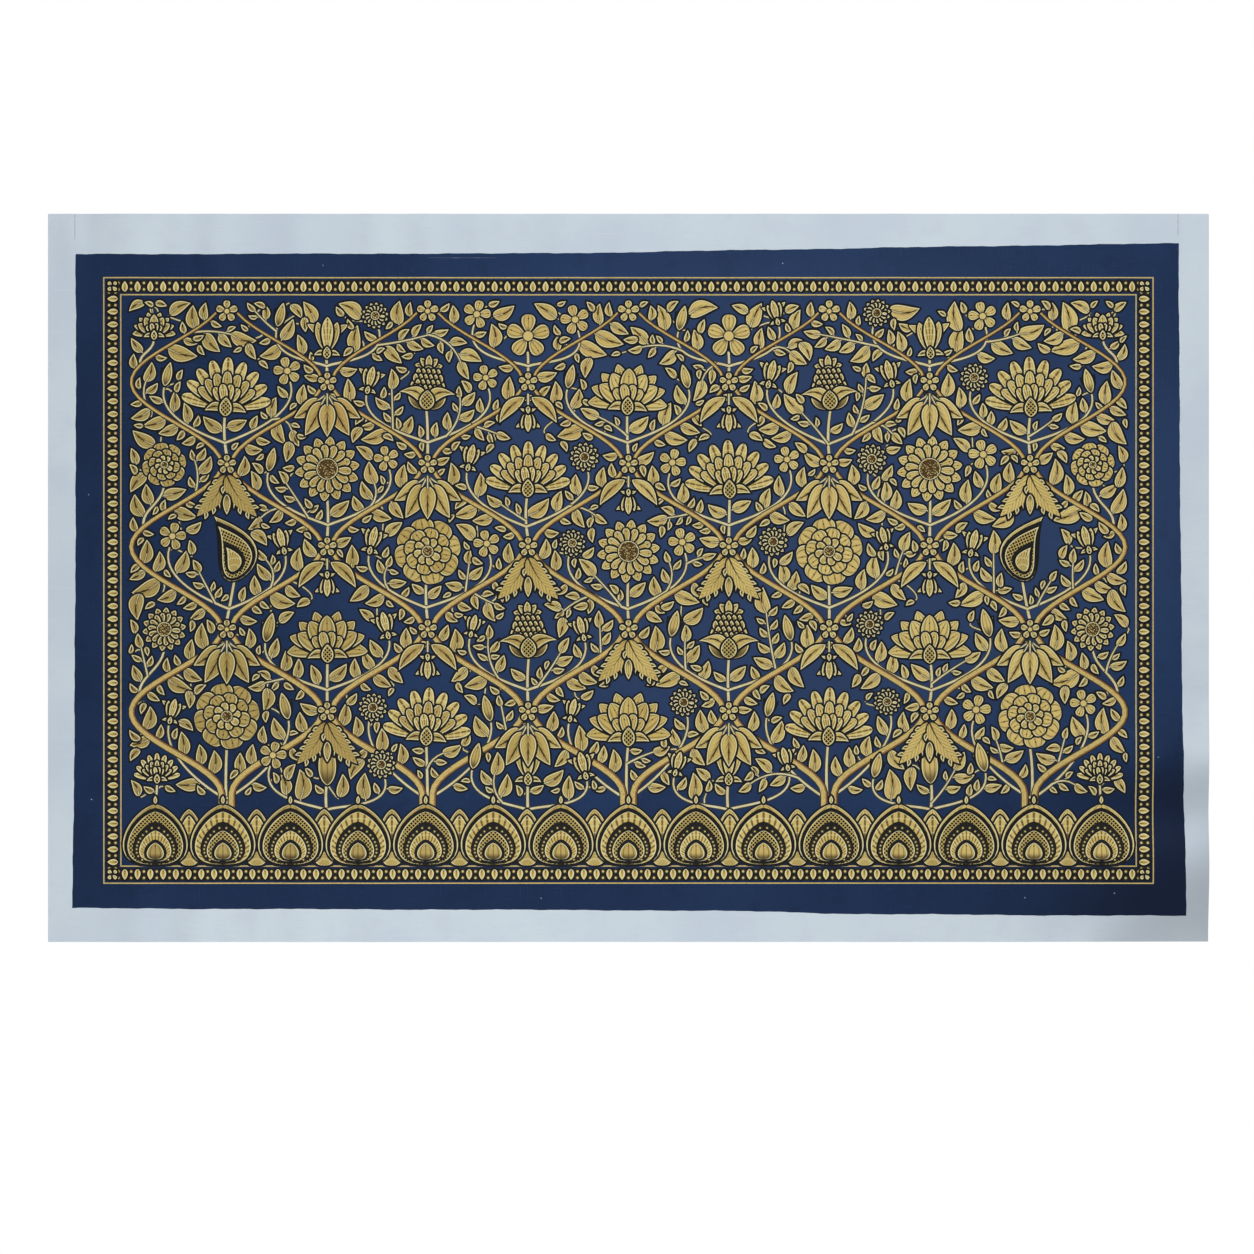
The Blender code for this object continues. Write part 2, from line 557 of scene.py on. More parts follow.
def nested(layer, rows, foot, heading, length, half_width, bend=0.0, shape="arch", rise=NEST_RISE):
    """Blades one inside another, each resting a little above the foot of the one before."""
    for paint, share in rows:
        lift = heading * length * rise * (1.0 - share)
        blade(layer, paint, foot + lift, heading, length * share, half_width * share, bend, shape)


def petal_strokes(outer, inner):
    """The paint and the share of a frieze petal that each nested stroke fills."""
    paints = ("petal gold", "lamp black", outer, "lamp black", inner, "lamp black", "petal gold")
    return zip(paints, NEST_SHARES)


def beads_round(foot):
    """Beads up both sides of a frieze petal."""
    swell = swell_of("arch")
    for t, side in product(BEADS_UP_SIDE, (-1, 1)):
        spread = side * FRIEZE_HALF_WIDTH * BEADED_SHARE * blade_side(t, swell)
        up = FRIEZE_HEIGHT * (BEADED_SHARE * t + NEST_RISE * (1.0 - BEADED_SHARE))
        disc("frieze", "bead gold", foot + complex(spread, up), FRIEZE_BEAD_RADIUS)


def frieze():
    for i in range(1, FRIEZE_PETALS):
        foot = complex((i - FRIEZE_PETALS / 2) * FRIEZE_PITCH, FRIEZE_LOW)
        for paint, share, half_width in SMALL_PETAL:
            blade("frieze", paint, foot, 1j, FRIEZE_HEIGHT * share, half_width, shape="arch")
    for i in range(FRIEZE_PETALS):
        foot = complex((i + 0.5 - FRIEZE_PETALS / 2) * FRIEZE_PITCH, FRIEZE_LOW)
        worked = ("shell gold", "net gold") if i % 2 else ("net gold", "shell gold")
        nested("frieze", petal_strokes(*worked), foot, 1j, FRIEZE_HEIGHT, FRIEZE_HALF_WIDTH)
        beads_round(foot)
        blade("frieze", "petal gold", foot + 1j * (FRIEZE_HEIGHT + 1), 1j, *TOP_BUD, shape="bud")


frieze()
print(f"{FRIEZE_PETALS} lotus petals, {FRIEZE_PITCH:.1f} mm apart")

# %% [markdown]
# ## The flowers
#
# Each flower is a fan or a ring of blades, the hindmost first. The kinds are those of any
# old pattern book. A flower is drawn in its own sizes, from its middle and along its heading,
# so the trellis can set each kind by name, at any slant and as large as it likes.

# %% Draw the flowers of the trellis
Flower = namedtuple("Flower", "middle heading size")


def petal(flower, paint, foot, angle, reach, half_width, bend=0.0, shape="petal", start=0.0):
    """One petal or leaf, with its foot on the flower's heading. Lengths are in flower sizes."""
    middle, heading, size = flower
    way = heading * turned(angle)
    place = middle + heading * size * foot + way * size * start
    blade("flowers", paint, place, way, size * reach, size * half_width, bend, shape)


def fan(flower, paint, foot, reach, half_width, angles, shape="petal", droop=0.0, start=0.0):
    """Petals that spread from one foot, the outer pair first and the middle one last."""
    for angle in sorted(angles, key=abs, reverse=True):
        length = reach * (1.0 - abs(angle) / 600.0)
        petal(flower, paint, foot, angle, length, half_width, -droop * angle / 90.0, shape, start)


def ring(flower, paint, start, reach, half_width, count, turn, shape="round petal"):
    """Petals all round the middle, turned from the cloth's own right."""
    upright = flower._replace(heading=1 + 0j)
    for i in range(count):
        petal(upright, paint, 0.0, turn + 360.0 * i / count, reach, half_width, 0.0, shape, start)


def calyx(flower, foot):
    """The small cup under a flower, with two curled sepals."""
    for side in (-1, 1):
        petal(flower, "leaf gold", foot, side * 98, 0.32, 0.07, side * -0.18, "willow")
    petal(flower, "net gold", foot - 0.10, 0, 0.28, 0.095, shape="bud")


def lotus(flower):
    spread = (-84, -62, -39, -15, 15, 39, 62, 84)
    fan(flower, "petal gold", -0.34, 0.72, 0.115, spread, droop=0.10)
    fan(flower, "petal gold", -0.34, 0.62, 0.130, (-52, -26, 0, 26, 52), droop=0.06)
    fan(flower, "petal gold", -0.34, 0.38, 0.075, (-36, -12, 12, 36), "round petal")
    calyx(flower, -0.34)


def daisy(flower):
    ring(flower, "petal gold", 0.16, 0.34, 0.082, 14, 7, "petal")
    ring(flower, "petal gold", 0.12, 0.25, 0.062, 14, 20)
    disc("flowers", "seed head", flower.middle, flower.size * 0.165)


def rose(flower):
    ring(flower, "petal gold", 0.10, 0.40, 0.175, 8, 12)
    ring(flower, "petal gold", 0.06, 0.29, 0.115, 8, 34)
    ring(flower, "shell gold", 0.03, 0.18, 0.060, 8, 12)
    disc("flowers", "seed head", flower.middle, flower.size * 0.085)


def carnation(flower):
    fan(flower, "shell gold", -0.34, 0.74, 0.088, range(-76, 77, 19), "round petal", start=0.03)
    fan(flower, "petal gold", -0.34, 0.56, 0.075, range(-54, 55, 18), "round petal")
    fan(flower, "shell gold", -0.34, 0.38, 0.065, (-30, -10, 10, 30), "round petal")
    calyx(flower, -0.34)


def tulip(flower):
    fan(flower, "petal gold", -0.42, 0.88, 0.12, (-34, 34), droop=0.45)
    fan(flower, "petal gold", -0.42, 0.80, 0.11, (-17, 17), droop=-0.20)
    petal(flower, "shell gold", -0.42, 0, 0.86, 0.14)
    calyx(flower, -0.42)


def pomegranate(flower):
    fan(flower, "petal gold", 0.22, 0.27, 0.055, (-62, -31, 0, 31, 62), droop=0.2)
    petal(flower, "petal gold", -0.36, 0, 0.68, 0.30, shape="arch")
    for row in range(5):
        scales = 5 + row % 2
        for i in range(scales):
            foot = complex(0.16 - 0.085 * row, (i - (scales - 1) / 2) * 0.078)
            petal(flower, "scale gold", foot, 0, 0.12, 0.044, shape="arch")
    for side in (-1, 1):
        petal(flower, "leaf gold", -0.36, side * 62, 0.52, 0.10, side * -0.30, "willow")
    petal(flower, "net gold", -0.36, 0, 0.30, 0.12, shape="bud")


# Rows: the paint and the share of the paisley that each nested stroke fills.
PAISLEY_STROKES = (
    ("petal gold", 1.0),
    ("lamp black", 0.87),
    ("net gold", 0.80),
    ("lamp black", 0.46),
    ("shell gold", 0.38),
)


def paisley(flower):
    middle, heading, size = flower
    bend = 0.15 if heading.real >= 0 else -0.15
    foot = middle - heading * size * 0.46
    nested("flowers", PAISLEY_STROKES, foot, heading, size * 1.04, size * 0.30, bend, "drop", 0.22)


def blossom(flower):
    turn = math.degrees(cmath.phase(flower.heading))
    ring(flower, "petal gold", 0.05, 0.44, 0.165, 5, turn)
    disc("flowers", "bead gold", flower.middle, flower.size * 0.11)


def bud(flower):
    fan(flower, "leaf gold", -0.5, 0.72, 0.15, (-24, 24), "willow", droop=0.5)
    petal(flower, "petal gold", -0.5, 0, 1.0, 0.20, shape="bud")


def plume(foot, heading, length, half_width, bend):
    """A long toothed leaf: its outline, teeth along both edges, and a body that joins them."""
    swell = swell_of("leaf")
    blade("flowers", "leaf gold", foot, heading, length, half_width * 0.84, bend)
    for t in np.linspace(0.20, 0.84, 5):
        ahead = 1 + 4j * bend * (1 - 2 * t)
        ahead /= abs(ahead)
        middle = length * (t - 0.05 + 4j * bend * t * (1 - t))
        out = half_width * 0.55 * blade_side(t, swell)
        for side in (-1, 1):
            start = foot + heading * (middle + 1j * side * ahead * out)
            way = heading * ahead * turned(side * 40)
            blade("flowers", "leaf gold", start, way, length * 0.13 + 3, 3.4, side * 0.14)
    blade("flowers", "plume gold", foot + heading * 2, heading, length - 7, half_width * 0.66, bend)


def hanging_plumes(crossing, size):
    """Two toothed leaves and a bud that hang from a place."""
    for side in (-1, 1):
        plume(crossing, turned(-90 + side * 37), size, size * 0.20, side * -0.07)
    bud(Flower(crossing - 1j * size * 0.56, -1j, size * 0.40))


def hanging_leaves(crossing, size):
    """A palm of five leaves that hangs from a place."""
    for angle, share in ((-54, 0.62), (54, 0.62), (-28, 0.74), (28, 0.74), (0, 0.66)):
        way = turned(-90 + angle)
        foot = crossing + way * size * 0.20
        blade("flowers", "leaf gold", foot, way, size * share, size * share * 0.25, angle * -0.001)
        route = [crossing, crossing + way * size * 0.12, foot + way * 3]
        stem("flowers", "stem gold", route, 1.1, 0.9)


def hanging_flower(crossing, size):
    """A tulip between two leaves that hangs from a place."""
    hanging = Flower(crossing, -1j, size)
    for side in (-1, 1):
        petal(hanging, "leaf gold", 0.0, side * 44, 0.72, 0.13, side * 0.10, "willow", start=0.10)
    stem("flowers", "stem gold", crossing - 1j * size * np.linspace(0.0, 0.30, 3), 1.3, 1.2)
    tulip(Flower(crossing - 1j * size * 0.52, -1j, size * 0.52))


HANGINGS = (hanging_plumes, hanging_leaves, hanging_flower)

# Rows: how a flower is drawn, and the ground it takes along its stem and across it, in its sizes.
FLOWERS = {
    "lotus": (lotus, 0.88, 1.22),
    "daisy": (daisy, 1.00, 1.00),
    "rose": (rose, 1.00, 1.00),
    "carnation": (carnation, 0.92, 1.28),
    "tulip": (tulip, 1.02, 0.80),
    "pomegranate": (pomegranate, 1.00, 0.78),
    "paisley": (paisley, 1.06, 0.76),
    "blossom": (blossom, 1.00, 1.00),
    "bud": (bud, 1.04, 0.56),
}


def set_flower(name, middle, heading, size):
    """Draw a flower and take the ground under it."""
    draw, along, across = FLOWERS[name]
    draw(Flower(middle, heading, size))
    ground = disc_spots(0j, size / 2) * (1 + 2 * CLEARANCE / size)
    take(middle + heading * (ground.real * along + 1j * ground.imag * across))


# %% [markdown]
# ## The trellis
#
# Wavy vines stand side by side and bow apart in turn, so they enclose rows of pointed ovals,
# each half a height above its neighbour. This lattice is one of the oldest in textile
# design. Where two vines come close a small blossom ties them, and every oval holds one
# flower between two curved side stems.

# %% Grow the vines of the trellis
OVAL_WIDTH = 276.0
OVAL_HEIGHT = (TRELLIS_HIGH - TRELLIS_LOW) / 3
OVAL_MIDDLE = (TRELLIS_HIGH + TRELLIS_LOW) / 2
VINE_SWAY = OVAL_WIDTH / 4 * 0.90
VINE_HALF_WIDTHS = (4.4, 1.7)
# Half the width of ground that a vine takes: all along it, and along its thicker lower half.
VINE_ROOM = 2.5
LOW_VINE_ROOM = 4.6
# How far a vine's ends lie below the top of the frieze and below the border.
VINE_HIDDEN = 34.0
VINE_SHORT = 10.0
VINE_CORNERS = 80
LAST_COLUMN = 4
vine_routes = []


def vine_route(number):
    """The route of one wavy vine, from behind the frieze up to the border."""
    height = np.linspace(TRELLIS_LOW - VINE_HIDDEN, TRELLIS_HIGH - VINE_SHORT, VINE_CORNERS)
    waves = (height.clip(TRELLIS_LOW) - OVAL_MIDDLE) / OVAL_HEIGHT
    sway = (1 if number % 2 == 0 else -1) * VINE_SWAY * np.cos(2 * np.pi * waves)
    return (number + 0.5) * OVAL_WIDTH / 2 + sway + 1j * height


for number in range(-LAST_COLUMN - 1, LAST_COLUMN + 1):
    route = vine_route(number)
    vine_routes.append(route)
    stem("vines", "vine gold", route, *VINE_HALF_WIDTHS)
    take(stem_spots(route, VINE_ROOM))
    take(stem_spots(route[:len(route) // 2], LOW_VINE_ROOM))
print(f"{len(vine_routes)} vines, ovals {OVAL_WIDTH:.0f} by {OVAL_HEIGHT:.0f} mm")

# %% Set a flower and its side stems in every oval
# Rows, by the oval's column counted from the middle: flowers from the lowest row up.
OVAL_FLOWERS = {
    0: ("lotus", "daisy", "lotus"),
    1: ("tulip", "pomegranate", "carnation", "blossom"),
    2: ("carnation", "rose", "pomegranate"),
    3: ("bud", "lotus", "daisy", "tulip"),
    4: ("rose", "paisley", "carnation"),
}
# Where the parts of an oval sit, in mm from its middle: flower up, side stem's tip across and up.
OVAL_PLANS = {
    "whole": (-6.0, 82.0, -6.0),
    "upper half": (44.0, 78.0, 32.0),
    "lower half": (-50.0, 72.0, -36.0),
}
FULL_SIZE = 90.0
HALF_SIZE = 60.0
SIDE_SIZE = 37.0
HANGING_SIZE = 70.0
# How far a flower's stem starts above the foot of its oval, or below the top of the frieze.
STEM_RISE = 12.0
STEM_HIDDEN = 30.0
# How far below the top of its oval a hanging motif is tied, and the ground it takes, in its sizes.
HANGING_DROP = 16.0
HANGING_GROUND = (0.94, 0.50)
# How a side stem leaves the flower's stem and comes to its own tip, on the right.
BRANCH_LEAVES = 20 + 8j
BRANCH_ARRIVES = 16 - 46j
BRANCH_ENDS = ("blossom", "bud", "tulip", "daisy")
side_routes = []


def mirrored(step, side):
    """A step for the right side, or for side -1 its mirror image."""
    return complex(side * step.real, step.imag)


def oval(column, row, centre, name, plan):
    """One oval: its flower on a stem, two side stems that curve round it, and perhaps plumes."""
    lift, tip_across, tip_up = OVAL_PLANS[plan]
    size = (FULL_SIZE if plan == "whole" else HALF_SIZE) * hand.uniform(0.95, 1.05)
    lean = 1j * turned(hand.uniform(-4, 4))
    if name == "paisley":
        lean = lean * turned(-24 if column > 0 else 24)
    middle = centre + 1j * lift
    low = centre.imag - OVAL_HEIGHT / 2
    foot_up = low + STEM_RISE if low > TRELLIS_LOW + 1 else TRELLIS_LOW - STEM_HIDDEN
    foot = complex(centre.real, foot_up)
    set_flower(name, middle, lean, size)
    route = bow(foot, middle - lean * size * 0.36, hand.uniform(-0.05, 0.05))
    stem("stalks", "stem gold", route, 2.0, 1.6)
    take(stem_spots(route, 2.0))
    side_routes.append(route)
    for side in (-1, 1):
        start = route[len(route) // 4]
        reach = complex(tip_across + hand.uniform(-5, 5), tip_up + hand.uniform(-7, 7))
        tip = centre + mirrored(reach, side)
        pulls = (start + mirrored(BRANCH_LEAVES, side), tip + mirrored(BRANCH_ARRIVES, side))
        branch = curve(start, *pulls, tip)
        stem("stalks", "stem gold", branch, 1.7, 1.2)
        take(stem_spots(branch, 1.8))
        side_routes.append(branch)
        ending = BRANCH_ENDS[hand.randrange(4)]
        way = headings_along(branch)[-1]
        set_flower(ending, tip + way * SIDE_SIZE * 0.42, way, SIDE_SIZE * hand.uniform(0.9, 1.12))
    if plan != "lower half":
        crossing = centre + 1j * (OVAL_HEIGHT / 2 - HANGING_DROP)
        if crossing.imag < TRELLIS_HIGH - HANGING_DROP - 1:
            HANGINGS[(abs(column) + 2 * row) % len(HANGINGS)](crossing, HANGING_SIZE)
            length, half_width = (share * HANGING_SIZE for share in HANGING_GROUND)
            take(crossing - 1j * blade_spots(length, half_width, shape="petal"))


for column in range(-LAST_COLUMN, LAST_COLUMN + 1):
    names = OVAL_FLOWERS[abs(column)]
    for row, name in enumerate(names):
        level = OVAL_MIDDLE + (row - (len(names) - 1) / 2) * OVAL_HEIGHT
        centre = complex(column * OVAL_WIDTH / 2, level)
        plan = "whole"
        if len(names) == 4 and row in (0, 3):
            plan = "upper half" if row == 0 else "lower half"
        oval(column, row, centre, name, plan)
print(f"{len(layers['flowers'])} marks in the flowers")

# %% Tie the vines where they meet, and fill the sides
TIE_SIZE = 26.0
TOP_BLOSSOM_SIZE = 30.0
TOP_BLOSSOM_DROP = 16.0

for column in range(-LAST_COLUMN, LAST_COLUMN + 1):
    shift = 0.5 if column % 2 == 0 else 0.0
    for row in range(-1, 3):
        level = OVAL_MIDDLE + (row - shift) * OVAL_HEIGHT
        if TRELLIS_LOW + 30 < level < TRELLIS_HIGH - 30:
            set_flower("blossom", complex(column * OVAL_WIDTH / 2, level), 1j, TIE_SIZE)
    if column % 2 == 0:
        place = complex(column * OVAL_WIDTH / 2, TRELLIS_HIGH - TOP_BLOSSOM_DROP)
        set_flower("blossom", place, 1j, TOP_BLOSSOM_SIZE)

# Rows: a flower, its height, how far in from the side it is, its size, and how tall its stem is.
SIDE_FLOWERS = (
    ("carnation", -258.0, 40.0, 48.0, 66.0),
    ("daisy", -67.0, 50.0, 60.0, 88.0),
    ("rose", 159.0, 50.0, 60.0, 88.0),
    ("lotus", 352.0, 36.0, 48.0, 56.0),
)
for side in (-1, 1):
    for name, level, inward, size, rise in SIDE_FLOWERS:
        middle = complex(side * (TRELLIS_HALF_WIDTH - inward), level)
        vine = vine_routes[-1 if side > 0 else 0]
        start = vine[np.argmin(np.abs(vine.imag - (level - rise)))]
        if level - rise < TRELLIS_LOW:
            # The lowest flower grows from behind the frieze.
            start = complex(middle.real, level - rise)
        bottom = middle - 1j * size * 0.4
        pull = start + complex(side * 4, rise * 0.3)
        route = curve(start, pull, bottom - 1j * rise * 0.35, bottom)
        stem("stalks", "stem gold", route, 1.7, 1.4)
        take(stem_spots(route, 2.0))
        side_routes.append(route)
        set_flower(name, middle, 1j, size)
print(f"{len(side_routes)} side stems")

# %% [markdown]
# ## The foliage
#
# Leaves sit in turn on both sides of a stem, on short stalks. Where ground stays free, new
# twigs grow from the stems that are there and carry smaller leaves, until nothing more fits.

# %% Dress the stems with leaves
LEAF_LENGTHS = (42.0, 37.0, 33.0, 29.0, 25.0, 21.0, 17.0, 14.0)
LEAF_PLUMP = 0.28
LEAF_BEND = 0.11
SLANTS = (50, 36, 66, 84)
# How far a leaf's pale rib runs into it, as shares of its length, and how wide its dark edges are.
RIB_SHARES = (0.0, 0.2, 0.4)
SHORT_RIB_SHARES = (0.0, 0.15)
SHORT_LEAF = 22.0
RIB_EDGE = 0.5
# Leaves keep this far from a stem's tip.
TIP_CLEARANCE = 2.0
# The ground each length of leaf covers, bare and with its clearance.
leaf_ground = {}
for length in LEAF_LENGTHS:
    leaf_ground[length] = (
        blade_spots(length, length * LEAF_PLUMP, LEAF_BEND),
        blade_spots(length, length * LEAF_PLUMP, LEAF_BEND, grow=CLEARANCE),
    )


def fits(foot, way, side, length):
    """Take the ground of a leaf if it is free, and say whether it was."""
    body, wide = leaf_ground[length]
    if side < 0:
        body, wide = body.conj(), wide.conj()
    if not is_free(foot + way * wide):
        return False
    take(foot + way * body)
    return True


def leaf(foot, way, side, length, start, long_stalk=None):
    """Draw a leaf. Its stalk comes from a stem and runs on into the leaf as a pale rib."""
    half_width = length * LEAF_PLUMP * hand.uniform(0.92, 1.05)
    bend = side * LEAF_BEND * hand.uniform(0.3, 1.3)
    blade("leaves", "leaf gold", foot, way, length, half_width, bend)
    shares = RIB_SHARES if length > SHORT_LEAF else SHORT_RIB_SHARES
    rib = [foot + way * length * (t + 4j * bend * t * (1 - t)) for t in shares]
    if long_stalk is None:
        rib.insert(0, start)
    else:
        stem("long stalks", "stem gold", long_stalk, 1.1, 0.8)
    stem("leaves", "stem gold", rib, 1.0, 0.5, RIB_EDGE)


def stations(route, first, step):
    """Places every step millimetres along a route, and the headings there."""
    travelled = np.concatenate([[0.0], np.cumsum(np.abs(np.diff(route)))])
    at = np.arange(first, travelled[-1] - TIP_CLEARANCE, step)
    places = np.interp(at, travelled, route.real) + 1j * np.interp(at, travelled, route.imag)
    return places, headings_along(route)[np.searchsorted(travelled, at).clip(0, len(route) - 1)]


def dress(route, pitch, longest, shortest, stalk):
    """Set the longest leaves that fit along a route, in turn on its left and right."""
    side = hand.choice((-1, 1))
    found = 0
    lengths = [length for length in LEAF_LENGTHS if shortest <= length <= longest]
    for place, ahead in zip(*stations(route, pitch * hand.uniform(0.3, 0.9), pitch)):
        for which, length, slant in product((side, -side), lengths, SLANTS):
            way = ahead * turned(which * (slant + hand.uniform(-6, 6)))
            if fits(place + way * stalk, way, which, length):
                leaf(place + way * stalk, way, which, length, place)
                side = -which
                found += 1
                break
    return found


# %% Grow twigs into the free ground
# Rows: how often a twig is tried, half the width it needs free, and its lengths.
TWIG_ROUNDS = (
    (1200, 12.0, (80, 66, 55)),
    (1800, 9.0, (56, 47, 38)),
    (2200, 6.5, (40, 31, 23)),
)
# A twig's leaves: their pitch, the longest, the shortest and their stalks. It needs at least
# this many of them, beside the leaf at its tip.
TWIG_LEAVES = (10.0, 33.0, 14.0, 5.0)
FEWEST_LEAVES = 2
twigs = []


def try_twig(parent, half_room, reaches):
    """Grow one curved twig from a stem, if free ground is found for it and for its leaves."""
    i = hand.randrange(1, len(parent) - 1)
    side = hand.choice((-1, 1))
    way = headings_along(parent)[i] * turned(side * hand.uniform(28, 66))
    for reach in reaches:
        route = bow(parent[i], parent[i] + way * reach, side * hand.uniform(-0.26, 0.04))
        start = len(route) * 2 // 5
        tip_room = disc_spots(route[-1], half_room)
        if is_free(stem_spots(route[start:], half_room)) and is_free(tip_room):
            before = taken.copy()
            marks_before = len(layers["leaves"])
            take(stem_spots(route, 1.0))
            ahead = headings_along(route)[-1]
            tried = LEAF_LENGTHS[1:-1]
            length = next((size for size in tried if fits(route[-1], ahead, side, size)), None)
            if length:
                leaf(route[-1], ahead, side, length, route[-2])
            if length and dress(route, *TWIG_LEAVES) >= FEWEST_LEAVES:
                stem("stalks", "stem gold", route, 1.4, 0.9)
                twigs.append(route)
            else:
                taken[:] = before
                del layers["leaves"][marks_before:]
            return


for tries, half_room, reaches in TWIG_ROUNDS:
    for _ in range(tries):
        try_twig(hand.choice(vine_routes * 2 + side_routes + twigs), half_room, reaches)
    print(f"{len(twigs)} twigs")

# Rows: the pitch of the leaves, the longest, the shortest and their stalks.
DRESSINGS = ((6.5, 42.0, 29.0, 5.0), (6.5, 33.0, 21.0, 4.5), (6.5, 25.0, 17.0, 4.0))
for dressing in DRESSINGS:
    for route in vine_routes + side_routes + twigs:
        dress(route, *dressing)
leaf_count = sum(mark.paint == "leaf gold" for mark in layers["leaves"])
print(f"{leaf_count} leaves, {(~taken).sum()} squares still bare")

# %% Fill the last gaps, one leaf at a time
# Rows: the free room round a leaf's middle, in squares, and its lengths.
GAP_ROUNDS = (
    (7, (42.0, 37.0, 33.0)),
    (6, (37.0, 33.0, 29.0)),
    (5, (33.0, 29.0, 25.0)),
    (4, (29.0, 25.0, 21.0)),
    (3, (21.0, 17.0)),
    (2, (17.0, 14.0)),
)
LONGEST_STALK = 60.0
GAP_SLANTS = (0, 28, -28, 60, -60, 95, -95)
GAPS_A_ROUND = 3000
# Where a leaf's widest part lies, as a share of its length, and how far a long stalk runs straight
# on at its start and its end, as shares of its own.
WIDEST_AT = 0.45
STALK_LEADS = (0.25, 0.35)
# Long stalks leave a stem from here on, this far apart.
FIRST_STALK = 1.0
STALK_STEP = 4.0
all_routes = vine_routes + side_routes + twigs
all_stations = [stations(route, FIRST_STALK, STALK_STEP) for route in all_routes]
stem_places = np.concatenate([places for places, _ in all_stations])
stem_headings = np.concatenate([headings for _, headings in all_stations])


def roomy_squares(room):
    """Middles of the squares with this many free squares on every side, in a random order."""
    free = (~taken).reshape(ground_rows, ground_columns)
    for _ in range(room):
        inner = free.copy()
        inner[1:] &= free[:-1]
        inner[:-1] &= free[1:]
        inner[:, 1:] &= free[:, :-1]
        inner[:, :-1] &= free[:, 1:]
        free = inner
    row, column = np.nonzero(free)
    across = (column + 0.5) * SQUARE - FIELD_WIDTH / 2
    spots = across + 1j * ((row + 0.5) * SQUARE - FIELD_DROP / 2)
    return hand.sample(spots.tolist(), len(spots))


def fill_gap(middle, lengths):
    """Set a leaf round a free place, on a stalk that runs under others to the nearest stem."""
    gaps = middle - stem_places
    nearest = int(np.abs(gaps).argmin())
    gap = gaps[nearest]
    if abs(gap) > LONGEST_STALK:
        return False
    side = hand.choice((-1, 1))
    for length in lengths:
        for slant in GAP_SLANTS:
            way = gap / abs(gap) * turned(slant * side)
            foot = middle - way * length * WIDEST_AT
            if fits(foot, way, side, length):
                start = stem_places[nearest]
                reach = abs(foot - start)
                ahead = stem_headings[nearest]
                # The stalk leaves the stem at a slant, whichever way the stem grows.
                if (ahead.conj() * gap).real < 0:
                    ahead = -ahead
                lead_out = (ahead + gap / abs(gap)) * reach * STALK_LEADS[0]
                lead_in = way * reach * STALK_LEADS[1]
                stalk = curve(start, start + lead_out, foot - lead_in, foot)
                leaf(foot, way, side, length, start, stalk)
                return True
    return False


for room, lengths in GAP_ROUNDS:
    filled = 0
    for middle in roomy_squares(room)[:GAPS_A_ROUND]:
        if not taken[squares_of(np.array([middle]))][0]:
            filled += fill_gap(middle, lengths)
    print(f"{filled} more leaves in gaps of {room} squares")
print(f"{(~taken).sum()} squares still bare")

# %% Mark what age and hand left
# Two lines that set the field out, a scratch in the blue, and specks where paint came off.
# Rows: a pencil line's distance across and its lower end, from the middle of the field.
PENCIL_LINES = ((-761.0, 468.5), (755.5, 474.0))
PENCIL_WIDTH = 0.6
CLOTH_TOP = 503.2
SCRATCH_MIDDLE = -228 + 443.5j
SCRATCH_LENGTH = 94.0
SCRATCH_WIDTH = 0.22
SPECK_RADIUS = 0.9
SPECKS = (
    (728, -243), (668, -430), (-742, 118), (-738, -301),
    (-420, 433), (212, 436), (545, -436), (-120, -437),
)

for across, up_to in PENCIL_LINES:
    panel("pencil", complex(across, (CLOTH_TOP + up_to) / 2), PENCIL_WIDTH, CLOTH_TOP - up_to)
panel("pencil", SCRATCH_MIDDLE, SCRATCH_LENGTH, SCRATCH_WIDTH)
for across, up in SPECKS:
    lay("ground", "pencil", complex(across, up) + SPECK_RADIUS * circle(8))
print(f"{sum(len(rows) for rows in layers.values())} marks in all")

# %% [markdown]
# ## The sheet
#
# The cloth's face is one mesh through every outline of the drawing. Delaunay triangulation
# joins all the corners and keeps every outline as an edge. Then each mark in turn claims the
# triangles whose middles it covers, as paint covers what lies below. Lines that ended up
# hidden are dropped and the rest is joined again. Loose points fill the plain parts, so the
# folds have corners to bend at. The back is the same rectangle with a plain net of points,
# and a narrow rim closes the sheet, which makes it a real solid 0.8 mm thick.

# %% Join the drawing into triangles
TOP_UP = FIELD_MIDDLE_BELOW
HALF_ACROSS = CLOTH_WIDTH / MM / 2
HEM_UP = TOP_UP - CLOTH_DROP / MM
# Corners closer than this become one.
JOINED_WITHIN = 0.02


def triangulate(loose, edges, outlines):
    """Corners, triangles between them, and the new number of each old corner."""
    spots = np.concatenate([loose, *outlines])
    start = len(loose)
    edges = list(edges)
    for outline in outlines:
        numbers = list(range(start, start + len(outline)))
        edges.extend(zip(numbers, numbers[1:] + numbers[:1]))
        start += len(outline)
    points = [Vector((spot.real, spot.imag)) for spot in spots]
    found = delaunay_2d_cdt(points, edges, [], 0, JOINED_WITHIN, True)
    new_number = {old: new for new, olds in enumerate(found[3]) for old in olds}
    return np.array([complex(*corner) for corner in found[0]]), np.array(found[2]), new_number


def inside(outline, spots):
    """Whether each spot is inside: a line from it to the right crosses an odd number of sides."""
    ends = np.roll(outline, -1)
    rise = ends.imag - outline.imag
    rise[rise == 0.0] = 1.0
    crossing = (outline.imag[:, None] > spots.imag) != (ends.imag[:, None] > spots.imag)
    slope = (ends.real - outline.real) / rise
    side = outline.real[:, None] + (spots.imag - outline.imag[:, None]) * slope[:, None]
    return (crossing & (spots.real < side)).sum(axis=0) % 2 == 1


